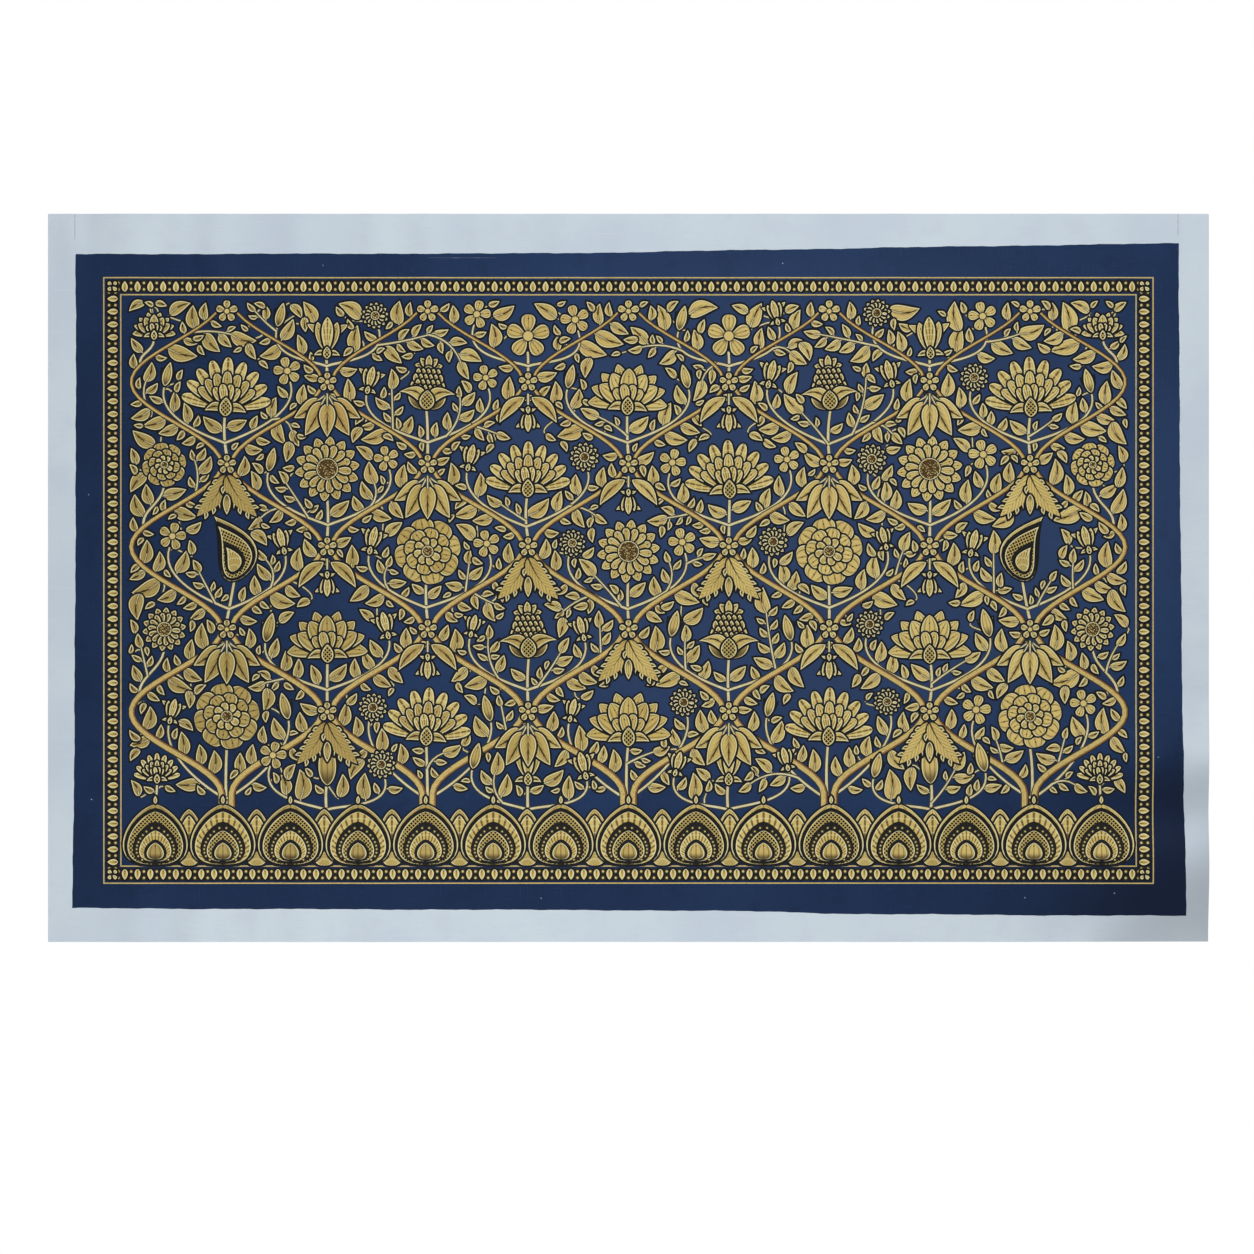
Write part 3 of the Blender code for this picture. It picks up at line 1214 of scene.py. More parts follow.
def marks_on_top(corners, triangles):
    """The number of the last mark over each triangle, or 0 for the bare cotton."""
    middles = corners[triangles].mean(axis=1)
    order = np.argsort(middles.real)
    middles = middles[order]
    across = middles.real.copy()
    on_top = np.zeros(len(order), int)
    for number, mark in enumerate(marks, start=1):
        outline = mark.outline
        first, last = np.searchsorted(across, (outline.real.min(), outline.real.max()))
        level = middles[first:last].imag
        near = first + np.nonzero((level > outline.imag.min()) & (level < outline.imag.max()))[0]
        on_top[near[inside(outline, middles[near])]] = number
    by_triangle = np.empty_like(on_top)
    by_triangle[order] = on_top
    return by_triangle


def net(step, near=()):
    """Loose points on a square net in the cloth, where none of the near places is close by."""
    across = np.arange(-HALF_ACROSS + step * 0.8, HALF_ACROSS - step * 0.4, step)
    up = np.arange(HEM_UP + step * 0.8, TOP_UP - step * 0.4, step)
    empty = np.ones((len(up), len(across)), bool)
    near = np.asarray(near, complex)
    column = np.rint((near.real - across[0]) / step).astype(int).clip(0, len(across) - 1)
    row = np.rint((near.imag - up[0]) / step).astype(int).clip(0, len(up) - 1)
    empty[row, column] = False
    return (across[None, :] + 1j * up[:, None])[empty]


def visible_edges(triangles, on_top):
    """Edges whose two sides show different paint, and the edges of the cloth."""
    edges = np.concatenate([triangles[:, [0, 1]], triangles[:, [1, 2]], triangles[:, [2, 0]]])
    edges.sort(axis=1)
    sides = np.tile(on_top, 3)
    order = np.lexsort((edges[:, 1], edges[:, 0]))
    edges, sides = edges[order], sides[order]
    pair = (edges[:-1] == edges[1:]).all(axis=1)
    hidden = pair & (sides[:-1] == sides[1:])
    keep = np.ones(len(edges), bool)
    keep[:-1][hidden] = False
    keep[1:][hidden] = False
    keep[1:][pair] = False
    return edges[keep]


marks = [mark for name in LAYERS for mark in layers[name]]
cloth_edge = rectangle(2 * HALF_ACROSS, TOP_UP - HEM_UP, 0.5j * (TOP_UP + HEM_UP))
outlines = [cloth_edge] + [mark.outline for mark in marks]
all_corners, all_triangles, number_of = triangulate([], [], outlines)
all_on_top = marks_on_top(all_corners, all_triangles)
shown = visible_edges(all_triangles, all_on_top)
print(f"{len(all_triangles)} triangles with hidden lines, {len(shown)} edges to keep")

# %% Join again without the hidden lines
# How far apart the loose points lie.
FACE_NET = 10.0
BACK_NET = 15.0
used, shown_ends = np.unique(shown, return_inverse=True)
kept_corners = all_corners[used]
kept_number = {int(old): new for new, old in enumerate(used)}
loose = net(FACE_NET, kept_corners)
face_corners, face_triangles, number_in_face = triangulate(
    np.concatenate([kept_corners, loose]), shown_ends.reshape(-1, 2).tolist(), []
)
face_border = np.array([number_in_face[kept_number[number_of[i]]] for i in range(len(cloth_edge))])
face_marks = marks_on_top(face_corners, face_triangles)

back_loose = net(BACK_NET)
back_corners, back_triangles, number_in_back = triangulate(back_loose, [], [cloth_edge])
# Seen from behind, the back's triangles have to run the other way round.
back_triangles = back_triangles[:, ::-1]
back_border = np.array([number_in_back[len(back_loose) + i] for i in range(len(cloth_edge))])
print(f"{len(face_triangles)} triangles in the face and {len(back_triangles)} in the back")

# %% Build the sheet
PAINTS = (
    "bare cotton", "blue ground", "leaf gold", "plume gold", "petal gold", "bud gold",
    "shell gold", "net gold", "scale gold", "stem gold", "vine gold", "gold line",
    "bead gold", "seed head", "lamp black", "pencil", "cotton back",
)
# The mesh's corners in order: three for each triangle of the face, then of the back, then the rim.
FACE_CORNERS = slice(0, face_triangles.size)
BACK_CORNERS = slice(face_triangles.size, face_triangles.size + back_triangles.size)
RIM_CORNERS = slice(face_triangles.size + back_triangles.size, None)


def hung(corners, front):
    """Places and normals of drawn corners on the front or the back of the hanging cloth."""
    side = SHEET_THICKNESS / 2 * (1 if front else -1)
    return hang(corners.real * MM, (TOP_UP - corners.imag) * MM, side)


def mark_table():
    """For the bare cotton, then each mark: foot, heading, tone, paint, size and swell.

    Size and swell hold a stroke's length, fullness and bow, and its two powers and half width, as
    the sums of the materials need them.
    """
    tones = random.Random(7)
    rows = [(0j, 1 + 0j, 0.5, 0, PLAIN_SIZE, PLAIN_SWELL)]
    for mark in marks:
        length, half_width, bow_out = mark.size
        foot_power, tip_power, factor = mark.swell
        size = (length, half_width * factor, 4.0 * bow_out)
        swell = (foot_power, tip_power, half_width)
        paint = PAINTS.index(mark.paint)
        rows.append((mark.foot, mark.heading, tones.random(), paint, size, swell))
    return [np.array(column) for column in zip(*rows)]


def store(mesh, name, domain, values):
    """Keep three numbers for each face or each corner of a face."""
    mesh.attributes.new(name, "FLOAT_VECTOR", domain).data.foreach_set("vector", values.ravel())


def store_strokes(mesh):
    """Give each face its paint and its stroke's size and swell, and each corner its place there."""
    feet, headings, tones, paints, sizes, swells = mark_table()
    face_count = len(mesh.polygons)
    slots = np.full(face_count, PAINTS.index("cotton back"))
    slots[:len(face_triangles)] = paints[face_marks]
    slots[-len(cloth_edge):] = PAINTS.index("bare cotton")
    mesh.polygons.foreach_set("material_index", slots)
    for name, values in (("size", sizes), ("swell", swells)):
        by_face = np.zeros((face_count, 3))
        by_face[:len(face_triangles)] = values[face_marks]
        store(mesh, name, "FACE", by_face)
    local = face_corners[face_triangles] - feet[face_marks][:, None]
    local = (local * headings[face_marks][:, None].conj()).ravel()
    tones_there = np.repeat(tones[face_marks], 3)
    by_corner = np.zeros((len(mesh.loops), 3))
    by_corner[FACE_CORNERS] = np.stack([local.real, local.imag, tones_there], axis=1)
    store(mesh, "place", "CORNER", by_corner)


# The flat picture that the materials can be baked on: its side margin, the width in use, and the
# levels between which the face, the back and the rim lie.
PICTURE_MARGIN = 0.003
PICTURE_WIDTH = 0.994
FACE_LEVELS = (0.252, 0.996)
BACK_LEVELS = (0.004, 0.238)
RIM_LEVELS = (0.2425, 0.2475)


def flat_places(spots, low_line, high_line):
    """Where drawn corners lie in the picture: over its width, and between two levels."""
    across = PICTURE_MARGIN + PICTURE_WIDTH * (spots.real + HALF_ACROSS) / (2 * HALF_ACROSS)
    up = low_line + (high_line - low_line) * (spots.imag - HEM_UP) / (TOP_UP - HEM_UP)
    return np.stack([across, up], axis=1)


def map_sheet(mesh):
    """Lay the face, the rim and the back flat, one below another."""
    flat = np.zeros((len(mesh.loops), 2))
    flat[FACE_CORNERS] = flat_places(face_corners[face_triangles.ravel()], *FACE_LEVELS)
    flat[BACK_CORNERS] = flat_places(back_corners[back_triangles.ravel()], *BACK_LEVELS)
    rim_count = len(cloth_edge)
    start = np.arange(rim_count) / rim_count
    end = start + 1 / rim_count
    low_line, high_line = (np.full(rim_count, level) for level in RIM_LEVELS)
    rim = np.stack([start, high_line, start, low_line, end, low_line, end, high_line], axis=1)
    flat[RIM_CORNERS] = rim.reshape(-1, 2) * (PICTURE_WIDTH, 1.0) + (PICTURE_MARGIN, 0.0)
    mesh.uv_layers.new(name="OFBake").data.foreach_set("uv", flat.ravel())


def build_sheet():
    face_places, face_normals = hung(face_corners, True)
    back_places, back_normals = hung(back_corners, False)
    shift = len(face_places)
    near, far = face_border, back_border + shift
    rim = np.stack([near, far, np.roll(far, -1), np.roll(near, -1)], axis=1)
    faces = face_triangles.tolist() + (back_triangles + shift).tolist() + rim.tolist()
    mesh = bpy.data.meshes.new("painted_hanging")
    mesh.from_pydata(np.concatenate([face_places, back_places]).tolist(), [], faces)
    mesh.polygons.foreach_set("use_smooth", np.ones(len(faces), bool))
    store_strokes(mesh)
    map_sheet(mesh)
    normals = np.zeros((len(mesh.loops), 3))
    normals[FACE_CORNERS] = face_normals[face_triangles.ravel()]
    normals[BACK_CORNERS] = -back_normals[back_triangles.ravel()]
    mesh.normals_split_custom_set(normals)
    return bpy.data.objects.new("painted_hanging", mesh)


cloth = build_sheet()
bpy.context.scene.collection.objects.link(cloth)
print(f"sheet of {len(cloth.data.polygons)} faces")

# %% [markdown]
# ## Colours and one node helper
#
# Colours are written as the hex values a painter would pick on a screen. Blender mixes light
# in linear numbers, so one function turns them. Every material below is built with one small
# function that adds a node, sets it up and links what it is given.

# %% Make the helpers
def linear(hex_colour):
    """The four linear numbers of an sRGB hex value."""
    channels = [int(hex_colour[i:i + 2], 16) / 255 for i in (1, 3, 5)]
    return [c / 12.92 if c <= 0.04045 else ((c + 0.055) / 1.055) ** 2.4 for c in channels] + [1.0]


def add_node(tree, kind, inputs=None, **settings):
    """A new node with its settings, with each input set to a value or linked to a socket."""
    node = tree.nodes.new(kind)
    for name, value in settings.items():
        setattr(node, name, value)
    for key, value in (inputs or {}).items():
        if isinstance(value, bpy.types.NodeSocket):
            tree.links.new(value, node.inputs[key])
        else:
            node.inputs[key].default_value = value
    return node


# %% [markdown]
# ## Measures
#
# A material knows where a spot lies in its own stroke, because the mesh carries the stroke's
# foot, length and width. The table below works the rest out, one sum a row: how far along a
# leaf the spot is, how far off its middle line, and how deep inside its rim. Paint is then
# laid on by depth, as a thin line along the rim or a vein down the middle.

# %% Write the sums that place the brushwork
HATCH_SPACING = 10.0
TOOTH_SPACING = 8.0
NET_SPACING = 5.6
SCALLOP_SPACING = 9.0
# Rows: a measure and the sum it is. Numbers, measures and further sums go into a sum. Lengths are
# in millimetres.
SUMS = {
    "share": ("MINIMUM", ("MAXIMUM", ("DIVIDE", "along", "length"), 0.0), 1.0),
    "rest": ("SUBTRACT", 1.0, "share"),
    "middle": ("MULTIPLY", ("MULTIPLY", "share", "rest"), "bow"),
    "across": ("SUBTRACT", "off", "middle"),
    "from middle": ("ABSOLUTE", "across"),
    "swelling": ("MULTIPLY", ("POWER", "share", "foot power"), ("POWER", "rest", "tip power")),
    "half": ("MULTIPLY", "swelling", "fullness"),
    "past an end": ("ABSOLUTE", ("SUBTRACT", "along", ("MULTIPLY", "share", "length"))),
    "depth": ("SUBTRACT", ("SUBTRACT", "half", "from middle"), "past an end"),
    "near middle": ("DIVIDE", "from middle", "half"),
    "slant": ("MULTIPLY_ADD", "from middle", -1.9, "along"),
    "hatch": ("SINE", ("MULTIPLY", "slant", 2 * math.pi / HATCH_SPACING)),
    "soft hatch": ("SUBTRACT", "hatch", ("MULTIPLY", "near middle", 1.2)),
    "tooth veins": ("SINE", ("MULTIPLY", "slant", 2 * math.pi / TOOTH_SPACING)),
    "veins": ("COSINE", ("MULTIPLY", ("DIVIDE", "across", "half"), 3.4 * math.pi)),
    "wedge": ("MULTIPLY_ADD", ("ABSOLUTE", ("SUBTRACT", "share", 0.58)), 2.6, "from middle"),
    "midrib": ("MULTIPLY_ADD", "share", 1.7, "from middle"),
    "to tip dot": ("MULTIPLY", ("SUBTRACT", "share", 0.80), "length"),
    "to tip dot squared": ("MULTIPLY", "to tip dot", "to tip dot"),
    "tip dot": ("SQRT", ("MULTIPLY_ADD", "across", "across", "to tip dot squared")),
    "stem depth": ("SUBTRACT", "stem half", ("ABSOLUTE", "off")),
    "lit depth": ("MULTIPLY_ADD", "off", 0.55, "stem depth"),
    "net one": ("SINE", ("MULTIPLY", ("ADD", "along", "off"), math.pi / NET_SPACING)),
    "net two": ("SINE", ("MULTIPLY", ("SUBTRACT", "along", "off"), math.pi / NET_SPACING)),
    "net": ("MINIMUM", ("ABSOLUTE", "net one"), ("ABSOLUTE", "net two")),
    "rays": ("COSINE", ("MULTIPLY", ("ARCTAN2", "off", "along"), 46.0)),
    "reach": ("SQRT", ("MULTIPLY_ADD", "off", "off", ("MULTIPLY", "along", "along"))),
    "scallops": ("COSINE", ("MULTIPLY", "reach", 2 * math.pi / SCALLOP_SPACING)),
    "round depth": ("SUBTRACT", "stem half", "reach"),
    "threads": ("MAXIMUM", "weft", "warp"),
    # corner grows towards the lower right corner, where painted shade darkens the cotton and the
    # blue.
    "corner": ("SUBTRACT", "cloth across", "cloth up"),
    # up and right rises towards the upper right, for the painted light and shade on the gold.
    "up and right": ("MULTIPLY_ADD", "cloth up", 0.6, "cloth across"),
}
# Rows: a noise pattern and the size of its grains across, through and up, in millimetres.
NOISES = {
    "weft": (22.0, 22.0, 1.8),
    "warp": (1.8, 22.0, 22.0),
    "slub": (62.0, 62.0, 3.3),
    "mottle": (38.0, 38.0, 38.0),
    "cloud": (200.0, 200.0, 200.0),
    "grain": (2.4, 2.4, 2.4),
}
# Rows: a broad soft spot of painted light or shade on the cloth, its middle and its reach across,
# through and up, in metres.
# Its measure is 0 in the middle and 1 at its reach. The reach through the cloth is out of play.
SPOTS = {
    # A painted sheen on the blue, right of the middle, with painted shade falling off round it.
    "painted light pool": ((0.20, 0.0, -0.40), (0.88, 9.0, 0.53)),
    # The painted shadow of the fold low in the right margin.
    "crease shade": ((0.80, 0.0, -0.80), (0.30, 9.0, 0.048)),
}
# Rows: a measure, the place it is read from, and its number there. "object" is in metres.
CARRIED = {
    "along": ("place", 0),
    "off": ("place", 1),
    "tone": ("place", 2),
    "length": ("size", 0),
    "fullness": ("size", 1),
    "bow": ("size", 2),
    "foot power": ("swell", 0),
    "tip power": ("swell", 1),
    "stem half": ("swell", 2),
    "cloth across": ("object", 0),
    "cloth up": ("object", 2),
}


def where(tree, source):
    """The socket of a place on the whole cloth, or of what the mesh carries for its strokes."""
    if source == "object":
        return add_node(tree, "ShaderNodeTexCoord").outputs["Object"]
    return add_node(tree, "ShaderNodeAttribute", attribute_name=source).outputs["Vector"]


def measure(tree, found, name):
    """The socket of a measure or a sum. Its nodes are added the first time it is asked for."""
    if isinstance(name, float) or name in found:
        return found.get(name, name)
    if name in CARRIED:
        source, part = CARRIED[name]
        if source not in found:
            found[source] = add_node(tree, "ShaderNodeSeparateXYZ", {0: where(tree, source)})
        found[name] = found[source].outputs[part]
    elif name in NOISES:
        grain_size = [grain * MM for grain in NOISES[name]]
        counted = {0: where(tree, "object"), 1: grain_size}
        spread = add_node(tree, "ShaderNodeVectorMath", counted, operation="DIVIDE")
        grains = {"Vector": spread.outputs[0], "Scale": 1.0, "Detail": 2.0}
        found[name] = add_node(tree, "ShaderNodeTexNoise", grains).outputs["Fac"]
    elif name in SPOTS:
        middle, reach = SPOTS[name]
        from_middle = {0: where(tree, "object"), 1: middle}
        gap = add_node(tree, "ShaderNodeVectorMath", from_middle, operation="SUBTRACT")
        in_reaches = {0: gap.outputs[0], 1: reach}
        gap = add_node(tree, "ShaderNodeVectorMath", in_reaches, operation="DIVIDE")
        length = add_node(tree, "ShaderNodeVectorMath", {0: gap.outputs[0]}, operation="LENGTH")
        found[name] = length.outputs["Value"]
    elif name == "seeds":
        grains = {"Vector": where(tree, "place"), "Scale": 0.42}
        found[name] = add_node(tree, "ShaderNodeTexVoronoi", grains).outputs["Distance"]
    else:
        operation, *parts = SUMS.get(name, name)
        inputs = {i: measure(tree, found, part) for i, part in enumerate(parts)}
        found[name] = add_node(tree, "ShaderNodeMath", inputs, operation=operation).outputs[0]
    return found[name]


# %% [markdown]
# ## Paint on cotton
#
# The cloth is plain-woven cotton, primed with chalk in gum. That makes it a cool, matt white,
# a little cloudy where the primer lies thicker. Every paint on it is a powder in gum, put on
# with a brush: blue for the ground, fine bronze powder for the gold, soot for the black. The
# gum dries so thin that the weave shows through all of them. Real threads lie 0.4 mm apart,
# too fine for a view of the whole cloth, so they are drawn about 1.8 mm apart.
#
# So each paint is one material: a body colour that wanders a little from stroke to stroke,
# and then thinner lines and touches over it. Cotton bends light by 1.53 and dry gum by 1.48.
# Both are open and rough, so they mirror far less than a smooth face would, and the gloss
# that is left is set low.

# %% Mix a paint
def lay_paint(tree, found, below, rows):
    """Lay touches of colour over a body colour.

    A row names a measure, where the touch starts and is full, its colour and how well it covers.
    """
    colour = below
    for name, none_at, full_at, touch, cover in rows:
        spot = measure(tree, found, name)
        ramp = {"Value": spot, "From Min": none_at, "From Max": full_at, "To Max": cover}
        amount = add_node(tree, "ShaderNodeMapRange", ramp, interpolation_type="SMOOTHSTEP")
        mixed = {0: amount.outputs[0], 6: colour, 7: linear(touch)}
        colour = add_node(tree, "ShaderNodeMix", mixed, data_type="RGBA").outputs[2]
    return colour


def make_paint(name, body, rows, roughness, ior=1.48, metallic=0.0, relief=0.25, gloss=0.3):
    material = bpy.data.materials.new(name)
    material.use_nodes = True
    tree = material.node_tree
    shader = tree.nodes["Principled BSDF"]
    found = {}
    tree.links.new(lay_paint(tree, found, linear(body), rows), shader.inputs["Base Color"])
    shader.inputs["Roughness"].default_value = roughness
    shader.inputs["IOR"].default_value = ior
    shader.inputs["Metallic"].default_value = metallic
    shader.inputs["Specular IOR Level"].default_value = gloss
    weave = {"Height": measure(tree, found, "threads"), "Strength": relief, "Distance": 0.0004}
    tree.links.new(add_node(tree, "ShaderNodeBump", weave).outputs[0], shader.inputs["Normal"])
    return material


# %% Choose the colours
BLACK = "#0F0E0D"
GOLD = "#CDB468"
CREAM = "#EDE4B1"
UMBER = "#3A2A14"
COTTON = "#CAD6DF"
BLUE = "#1A2E50"
COTTON_ROWS = (
    ("cloud", 0.38, 0.68, "#C0CCD9", 0.8),
    ("mottle", 0.48, 0.72, "#C2CDDB", 0.6),
    ("slub", 0.60, 0.76, "#D9E2E8", 0.25),
    ("weft", 0.54, 0.74, "#B4C1CE", 0.20),
    ("warp", 0.58, 0.78, "#D4DDE5", 0.20),
    # Painted shadow along the fold low on the right.
    ("crease shade", 1.4, 0.3, "#A9B3BC", 0.45),
    # Painted shade in the lower right corner, where the cloth turns from the light.
    ("corner", 1.60, 1.71, "#A6AEB7", 0.7),
)
BLUE_ROWS = (
    ("cloud", 0.38, 0.66, "#1F365B", 0.8),
    ("mottle", 0.50, 0.72, "#172948", 0.5),
    ("threads", 0.58, 0.76, "#294068", 0.5),
    # Painted sheen on the blue in the middle, then painted shade falling off outside it.
    ("painted light pool", 0.88, 0.35, "#34466A", 0.52),
    ("painted light pool", 0.74, 1.05, "#10203C", 0.30),
    # Painted shade: the blue darker towards the left edge, away from the light.
    ("cloth across", -0.60, -0.78, "#10203C", 0.25),
    # Painted shadow along the fold low on the right.
    ("crease shade", 1.4, 0.2, "#0F1D36", 0.50),
    # Painted shade in the lower right corner, where the cloth turns from the light.
    ("corner", 1.38, 1.66, "#0B162D", 0.82),
)
BACK_ROWS = (
    ("cloud", 0.35, 0.70, "#BCC4C8", 0.5),
    ("slub", 0.56, 0.72, "#D6DAD8", 0.6),
    ("threads", 0.50, 0.72, "#A6AEB5", 0.4),
)
STROKE_TONE = ("tone", 0.45, 1.0, "#DBC57A", 0.7)
WASH = ("mottle", 0.42, 0.72, "#B19652", 0.6)
WARMTH = ("cloud", 0.52, 0.70, "#C69C59", 0.45)
GRAIN = ("grain", 0.50, 0.68, "#AE9450", 0.35)
# Painted light and shade on all gold: lighter towards the upper right, darker towards the lower
# left.
GOLD_PAINTED_LIGHT = ("up and right", -0.50, 0.10, "#F0DA8E", 0.30)
GOLD_PAINTED_SHADE = ("up and right", -0.30, -1.00, "#A08C50", 0.60)
RIM = ("depth", 2.5, 1.5, CREAM, 0.85)
OUTLINE = ("depth", 0.80, 0.35, BLACK, 1.0)
OUTER_EDGE = ("depth", -2.0, -2.7, "#131D31", 0.6)
INNER_LINE = ("depth", 3.4, 2.6, UMBER, 0.35)
MIDRIB = ("midrib", 1.45, 0.95, "#1C140B", 0.95)
WEDGE = ("wedge", 1.40, 0.85, "#16110B", 0.95)
VALLEY = ("near middle", 0.50, 0.05, "#896F3A", 0.45)
HATCH = ("soft hatch", 0.2, 0.85, "#5E4522", 0.60)
# Gold here is bronze powder in gum. Each grain is bright metal, but gum covers most of them, so
# the paint has a weak, wide sheen and never mirrors. Metal keeps the shader's own IOR of 1.5.
GOLD_SHEEN = {"roughness": 0.52, "metallic": 0.20, "ior": 1.5}

BODY = (STROKE_TONE, WASH, WARMTH, GRAIN, GOLD_PAINTED_LIGHT, GOLD_PAINTED_SHADE)
LEAF_ROWS = BODY + (VALLEY, HATCH, WEDGE, INNER_LINE, RIM, OUTLINE, OUTER_EDGE)
PLUME_ROWS = BODY + (("tooth veins", 0.35, 0.85, "#5A4220", 0.45), MIDRIB)
PETAL_ROWS = BODY + (
    ("veins", 0.50, 0.92, "#634A23", 0.6),
    ("share", 0.42, 0.08, "#33230F", 0.8),
    ("tip dot", 1.2, 0.8, BLACK, 0.9),
    INNER_LINE,
    RIM,
    OUTLINE,
    OUTER_EDGE,
)
SHELL_ROWS = (
    STROKE_TONE,
    ("rays", 0.20, 0.70, "#3B2A13", 0.8),
    ("scallops", 0.70, 0.95, CREAM, 0.35),
    RIM,
    OUTLINE,
)
SCALE_ROWS = (
    STROKE_TONE,
    ("depth", 1.0, 1.7, "#5B431F", 0.6),
    ("share", 0.5, 0.1, UMBER, 0.7),
    RIM,
    OUTLINE,
)
STEM_ROWS = (("tone", 0.3, 1.0, "#E1DAB4", 0.6), ("stem depth", 0.30, 0.0, BLACK, 0.95))
VINE_ROWS = (
    ("grain", 0.50, 0.70, "#9D8246", 0.6),
    ("lit depth", 1.7, 0.6, "#7B4C27", 0.85),
    ("stem depth", 0.35, -0.05, BLACK, 0.95),
)
BUD_ROWS = (STROKE_TONE, ("midrib", 1.6, 1.1, UMBER, 0.7), RIM, OUTLINE)
NET_ROWS = (("net", 0.52, 0.30, "#CAB369", 0.95), RIM, OUTLINE)
LINE_ROWS = (("grain", 0.45, 0.75, "#A0894C", 0.6),)
BEAD_ROWS = (("round depth", 0.25, -0.05, BLACK, 0.95),)
SOOT_ROWS = (("threads", 0.58, 0.76, "#24221F", 0.6),)
PENCIL_ROWS = (("weft", 0.50, 0.62, COTTON, 0.7),)
SEED_ROWS = (
    ("seeds", 0.42, 0.25, "#D2BF7E", 0.9),
    ("round depth", 1.2, 0.8, CREAM, 0.85),
    ("round depth", 0.2, -0.1, BLACK, 1.0),
)

# Rows: each material's body colour, its touches and its surface.
MIXES = {
    # Plain-woven cotton with a chalk primer: a matt, cool white with soft clouds and faint threads.
    # Painted shade darkens it along the low fold and in the lower right corner.
    "bare cotton": (COTTON, COTTON_ROWS, {"roughness": 0.92, "ior": 1.53}),
    # Blue powder in gum, brushed on wide: deep and matt, and cloudy where the brush lifted.
    # Painted light right of the middle, and painted shade round it, towards the left edge, along
    # the low fold and in the lower right corner.
    "blue ground": (BLUE, BLUE_ROWS, {"roughness": 0.70, "relief": 0.35, "gloss": 0.14}),
    # Gold paint in leaves and petals: a pale rim, a darker wedge or veins, and a black outline.
    "leaf gold": (GOLD, LEAF_ROWS, GOLD_SHEEN),
    "plume gold": (GOLD, PLUME_ROWS, GOLD_SHEEN),
    "petal gold": (GOLD, PETAL_ROWS, GOLD_SHEEN),
    "bud gold": (GOLD, BUD_ROWS, GOLD_SHEEN),
    # Gold paint worked over with fine black lines: rays, nets and scales.
    "shell gold": (GOLD, SHELL_ROWS, GOLD_SHEEN),
    "net gold": (BLACK, NET_ROWS, GOLD_SHEEN),
    "scale gold": (GOLD, SCALE_ROWS, GOLD_SHEEN),
    "seed head": ("#4E3819", SEED_ROWS, GOLD_SHEEN),
    # Gold paint in long strokes: pale on thin stems, shaded brown along the lower side of vines.
    "stem gold": ("#D4C899", STEM_ROWS, GOLD_SHEEN),
    "vine gold": ("#CEB671", VINE_ROWS, GOLD_SHEEN),
    "gold line": ("#CDB66F", LINE_ROWS, GOLD_SHEEN),
    "bead gold": ("#D6C07C", BEAD_ROWS, GOLD_SHEEN),
    # Lamp black is soot in gum: dead matt, and greyer on the tops of the threads.
    "lamp black": (BLACK, SOOT_ROWS, {"roughness": 0.70}),
    # A soft pencil leaves graphite on the tops of the threads only: grey, broken lines.
    "pencil": ("#727C88", PENCIL_ROWS, {"roughness": 0.80}),
    # The back is the same cotton without primer: a little greyer, with uneven threads.
    "cotton back": ("#C5CCCB", BACK_ROWS, {"roughness": 0.95, "ior": 1.53}),
}

for name in PAINTS:
    body, rows, settings = MIXES[name]
    cloth.data.materials.append(make_paint(name, body, rows, **settings))
print(f"{len(cloth.data.materials)} paints mixed")

# %% [markdown]
# ## Studio
#
# The camera stands straight in front, far off with a long lens, as for a catalogue picture
# of a flat work. The main light is a soft lamp high above on the right, which brings out the
# level folds of the lower corner. A weak lamp low in front lifts the free hem, and one lamp
# behind lights the back for views from there.

# %% Light the studio
CAMERA_DISTANCE = 7.5
VIEW_ACROSS = 1.724
AIM = Vector((-0.002, 0.0, -0.568))
FLOOR_LEVEL = -2.2
FLOOR_PLAN = ((-2.5, -4.0), (2.5, -4.0), (2.5, 2.0), (-2.5, 2.0))
# How bright the surroundings look to the camera and how much light they give.
SEEN_BRIGHTNESS = 1.0
GIVEN_LIGHT = 0.05
SENSOR_WIDTH = 36.0
scene = bpy.context.scene
scene.view_settings.view_transform = "Standard"


def add_lamp(name, place, aim, size, power):
    lamp = bpy.data.objects.new(name, bpy.data.lights.new(name, "AREA"))
    lamp.data.shape = "DISK"
    lamp.data.size = size
    lamp.data.energy = power
    lamp.location = place
    lamp.rotation_euler = (Vector(aim) - Vector(place)).to_track_quat("-Z", "Y").to_euler()
    scene.collection.objects.link(lamp)


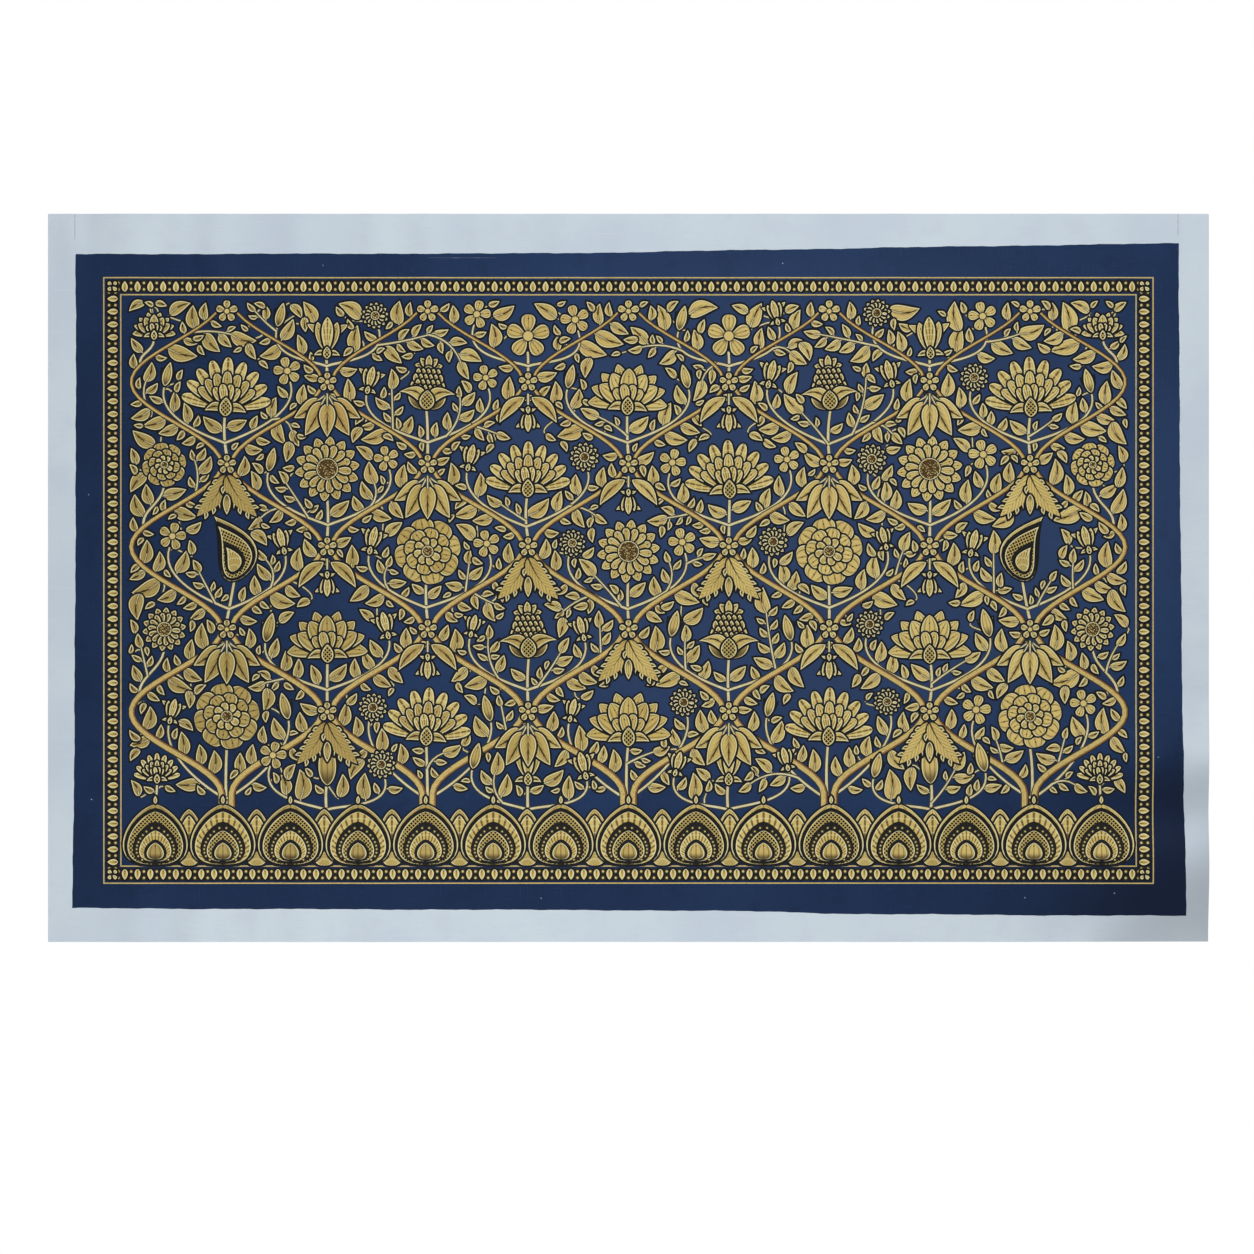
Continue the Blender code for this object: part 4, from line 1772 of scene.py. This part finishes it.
add_lamp("key", (0.68, -3.56, 4.6), (0.0, 0.0, -0.45), 1.1, 400.0)
add_lamp("low fill", (-0.32, -1.50, -1.75), (-0.12, 0.0, -0.90), 0.7, 8.0)
add_lamp("back", (0.3, 3.4, 1.2), (0.0, 0.0, -0.5), 1.2, 130.0)

floor_mesh = bpy.data.meshes.new("studio_floor")
floor_corners = [(across, along, FLOOR_LEVEL) for across, along in FLOOR_PLAN]
floor_mesh.from_pydata(floor_corners, [], [(0, 1, 2, 3)])
floor_paint = bpy.data.materials.new("matt studio paint")
floor_paint.use_nodes = True
floor_surface = floor_paint.node_tree.nodes["Principled BSDF"].inputs
floor_surface["Base Color"].default_value = linear("#EDEDEB")
floor_surface["Roughness"].default_value = 0.9
floor_mesh.materials.append(floor_paint)
floor = bpy.data.objects.new("studio_floor", floor_mesh)
scene.collection.objects.link(floor)

scene.world = bpy.data.worlds.new("studio")
scene.world.use_nodes = True
world = scene.world.node_tree
light_path = add_node(world, "ShaderNodeLightPath")
glow = {0: light_path.outputs["Is Camera Ray"], 2: GIVEN_LIGHT, 3: SEEN_BRIGHTNESS}
strength = add_node(world, "ShaderNodeMix", glow, data_type="FLOAT").outputs[0]
world.links.new(strength, world.nodes["Background"].inputs["Strength"])
world.nodes["Background"].inputs["Color"].default_value = (1.0, 1.0, 1.0, 1.0)

# %% Set up the camera
camera = bpy.data.objects.new("camera", bpy.data.cameras.new("camera"))
camera.data.sensor_width = SENSOR_WIDTH
camera.data.lens = SENSOR_WIDTH * CAMERA_DISTANCE / VIEW_ACROSS
camera.location = AIM + Vector((0.0, -CAMERA_DISTANCE, 0.0))
camera.rotation_euler = (math.radians(90), 0.0, 0.0)
scene.collection.objects.link(camera)
scene.camera = camera
print(f"lens {camera.data.lens:.0f} mm")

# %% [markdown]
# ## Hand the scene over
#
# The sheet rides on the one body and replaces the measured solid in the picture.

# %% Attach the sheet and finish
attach(cloth, "root")
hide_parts("painted_cloth")
floor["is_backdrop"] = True
shown_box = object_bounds()
extent = shown_box[1] - shown_box[0]
print(f"shown {extent.x:.4f} m wide and {extent.z:.4f} m deep")
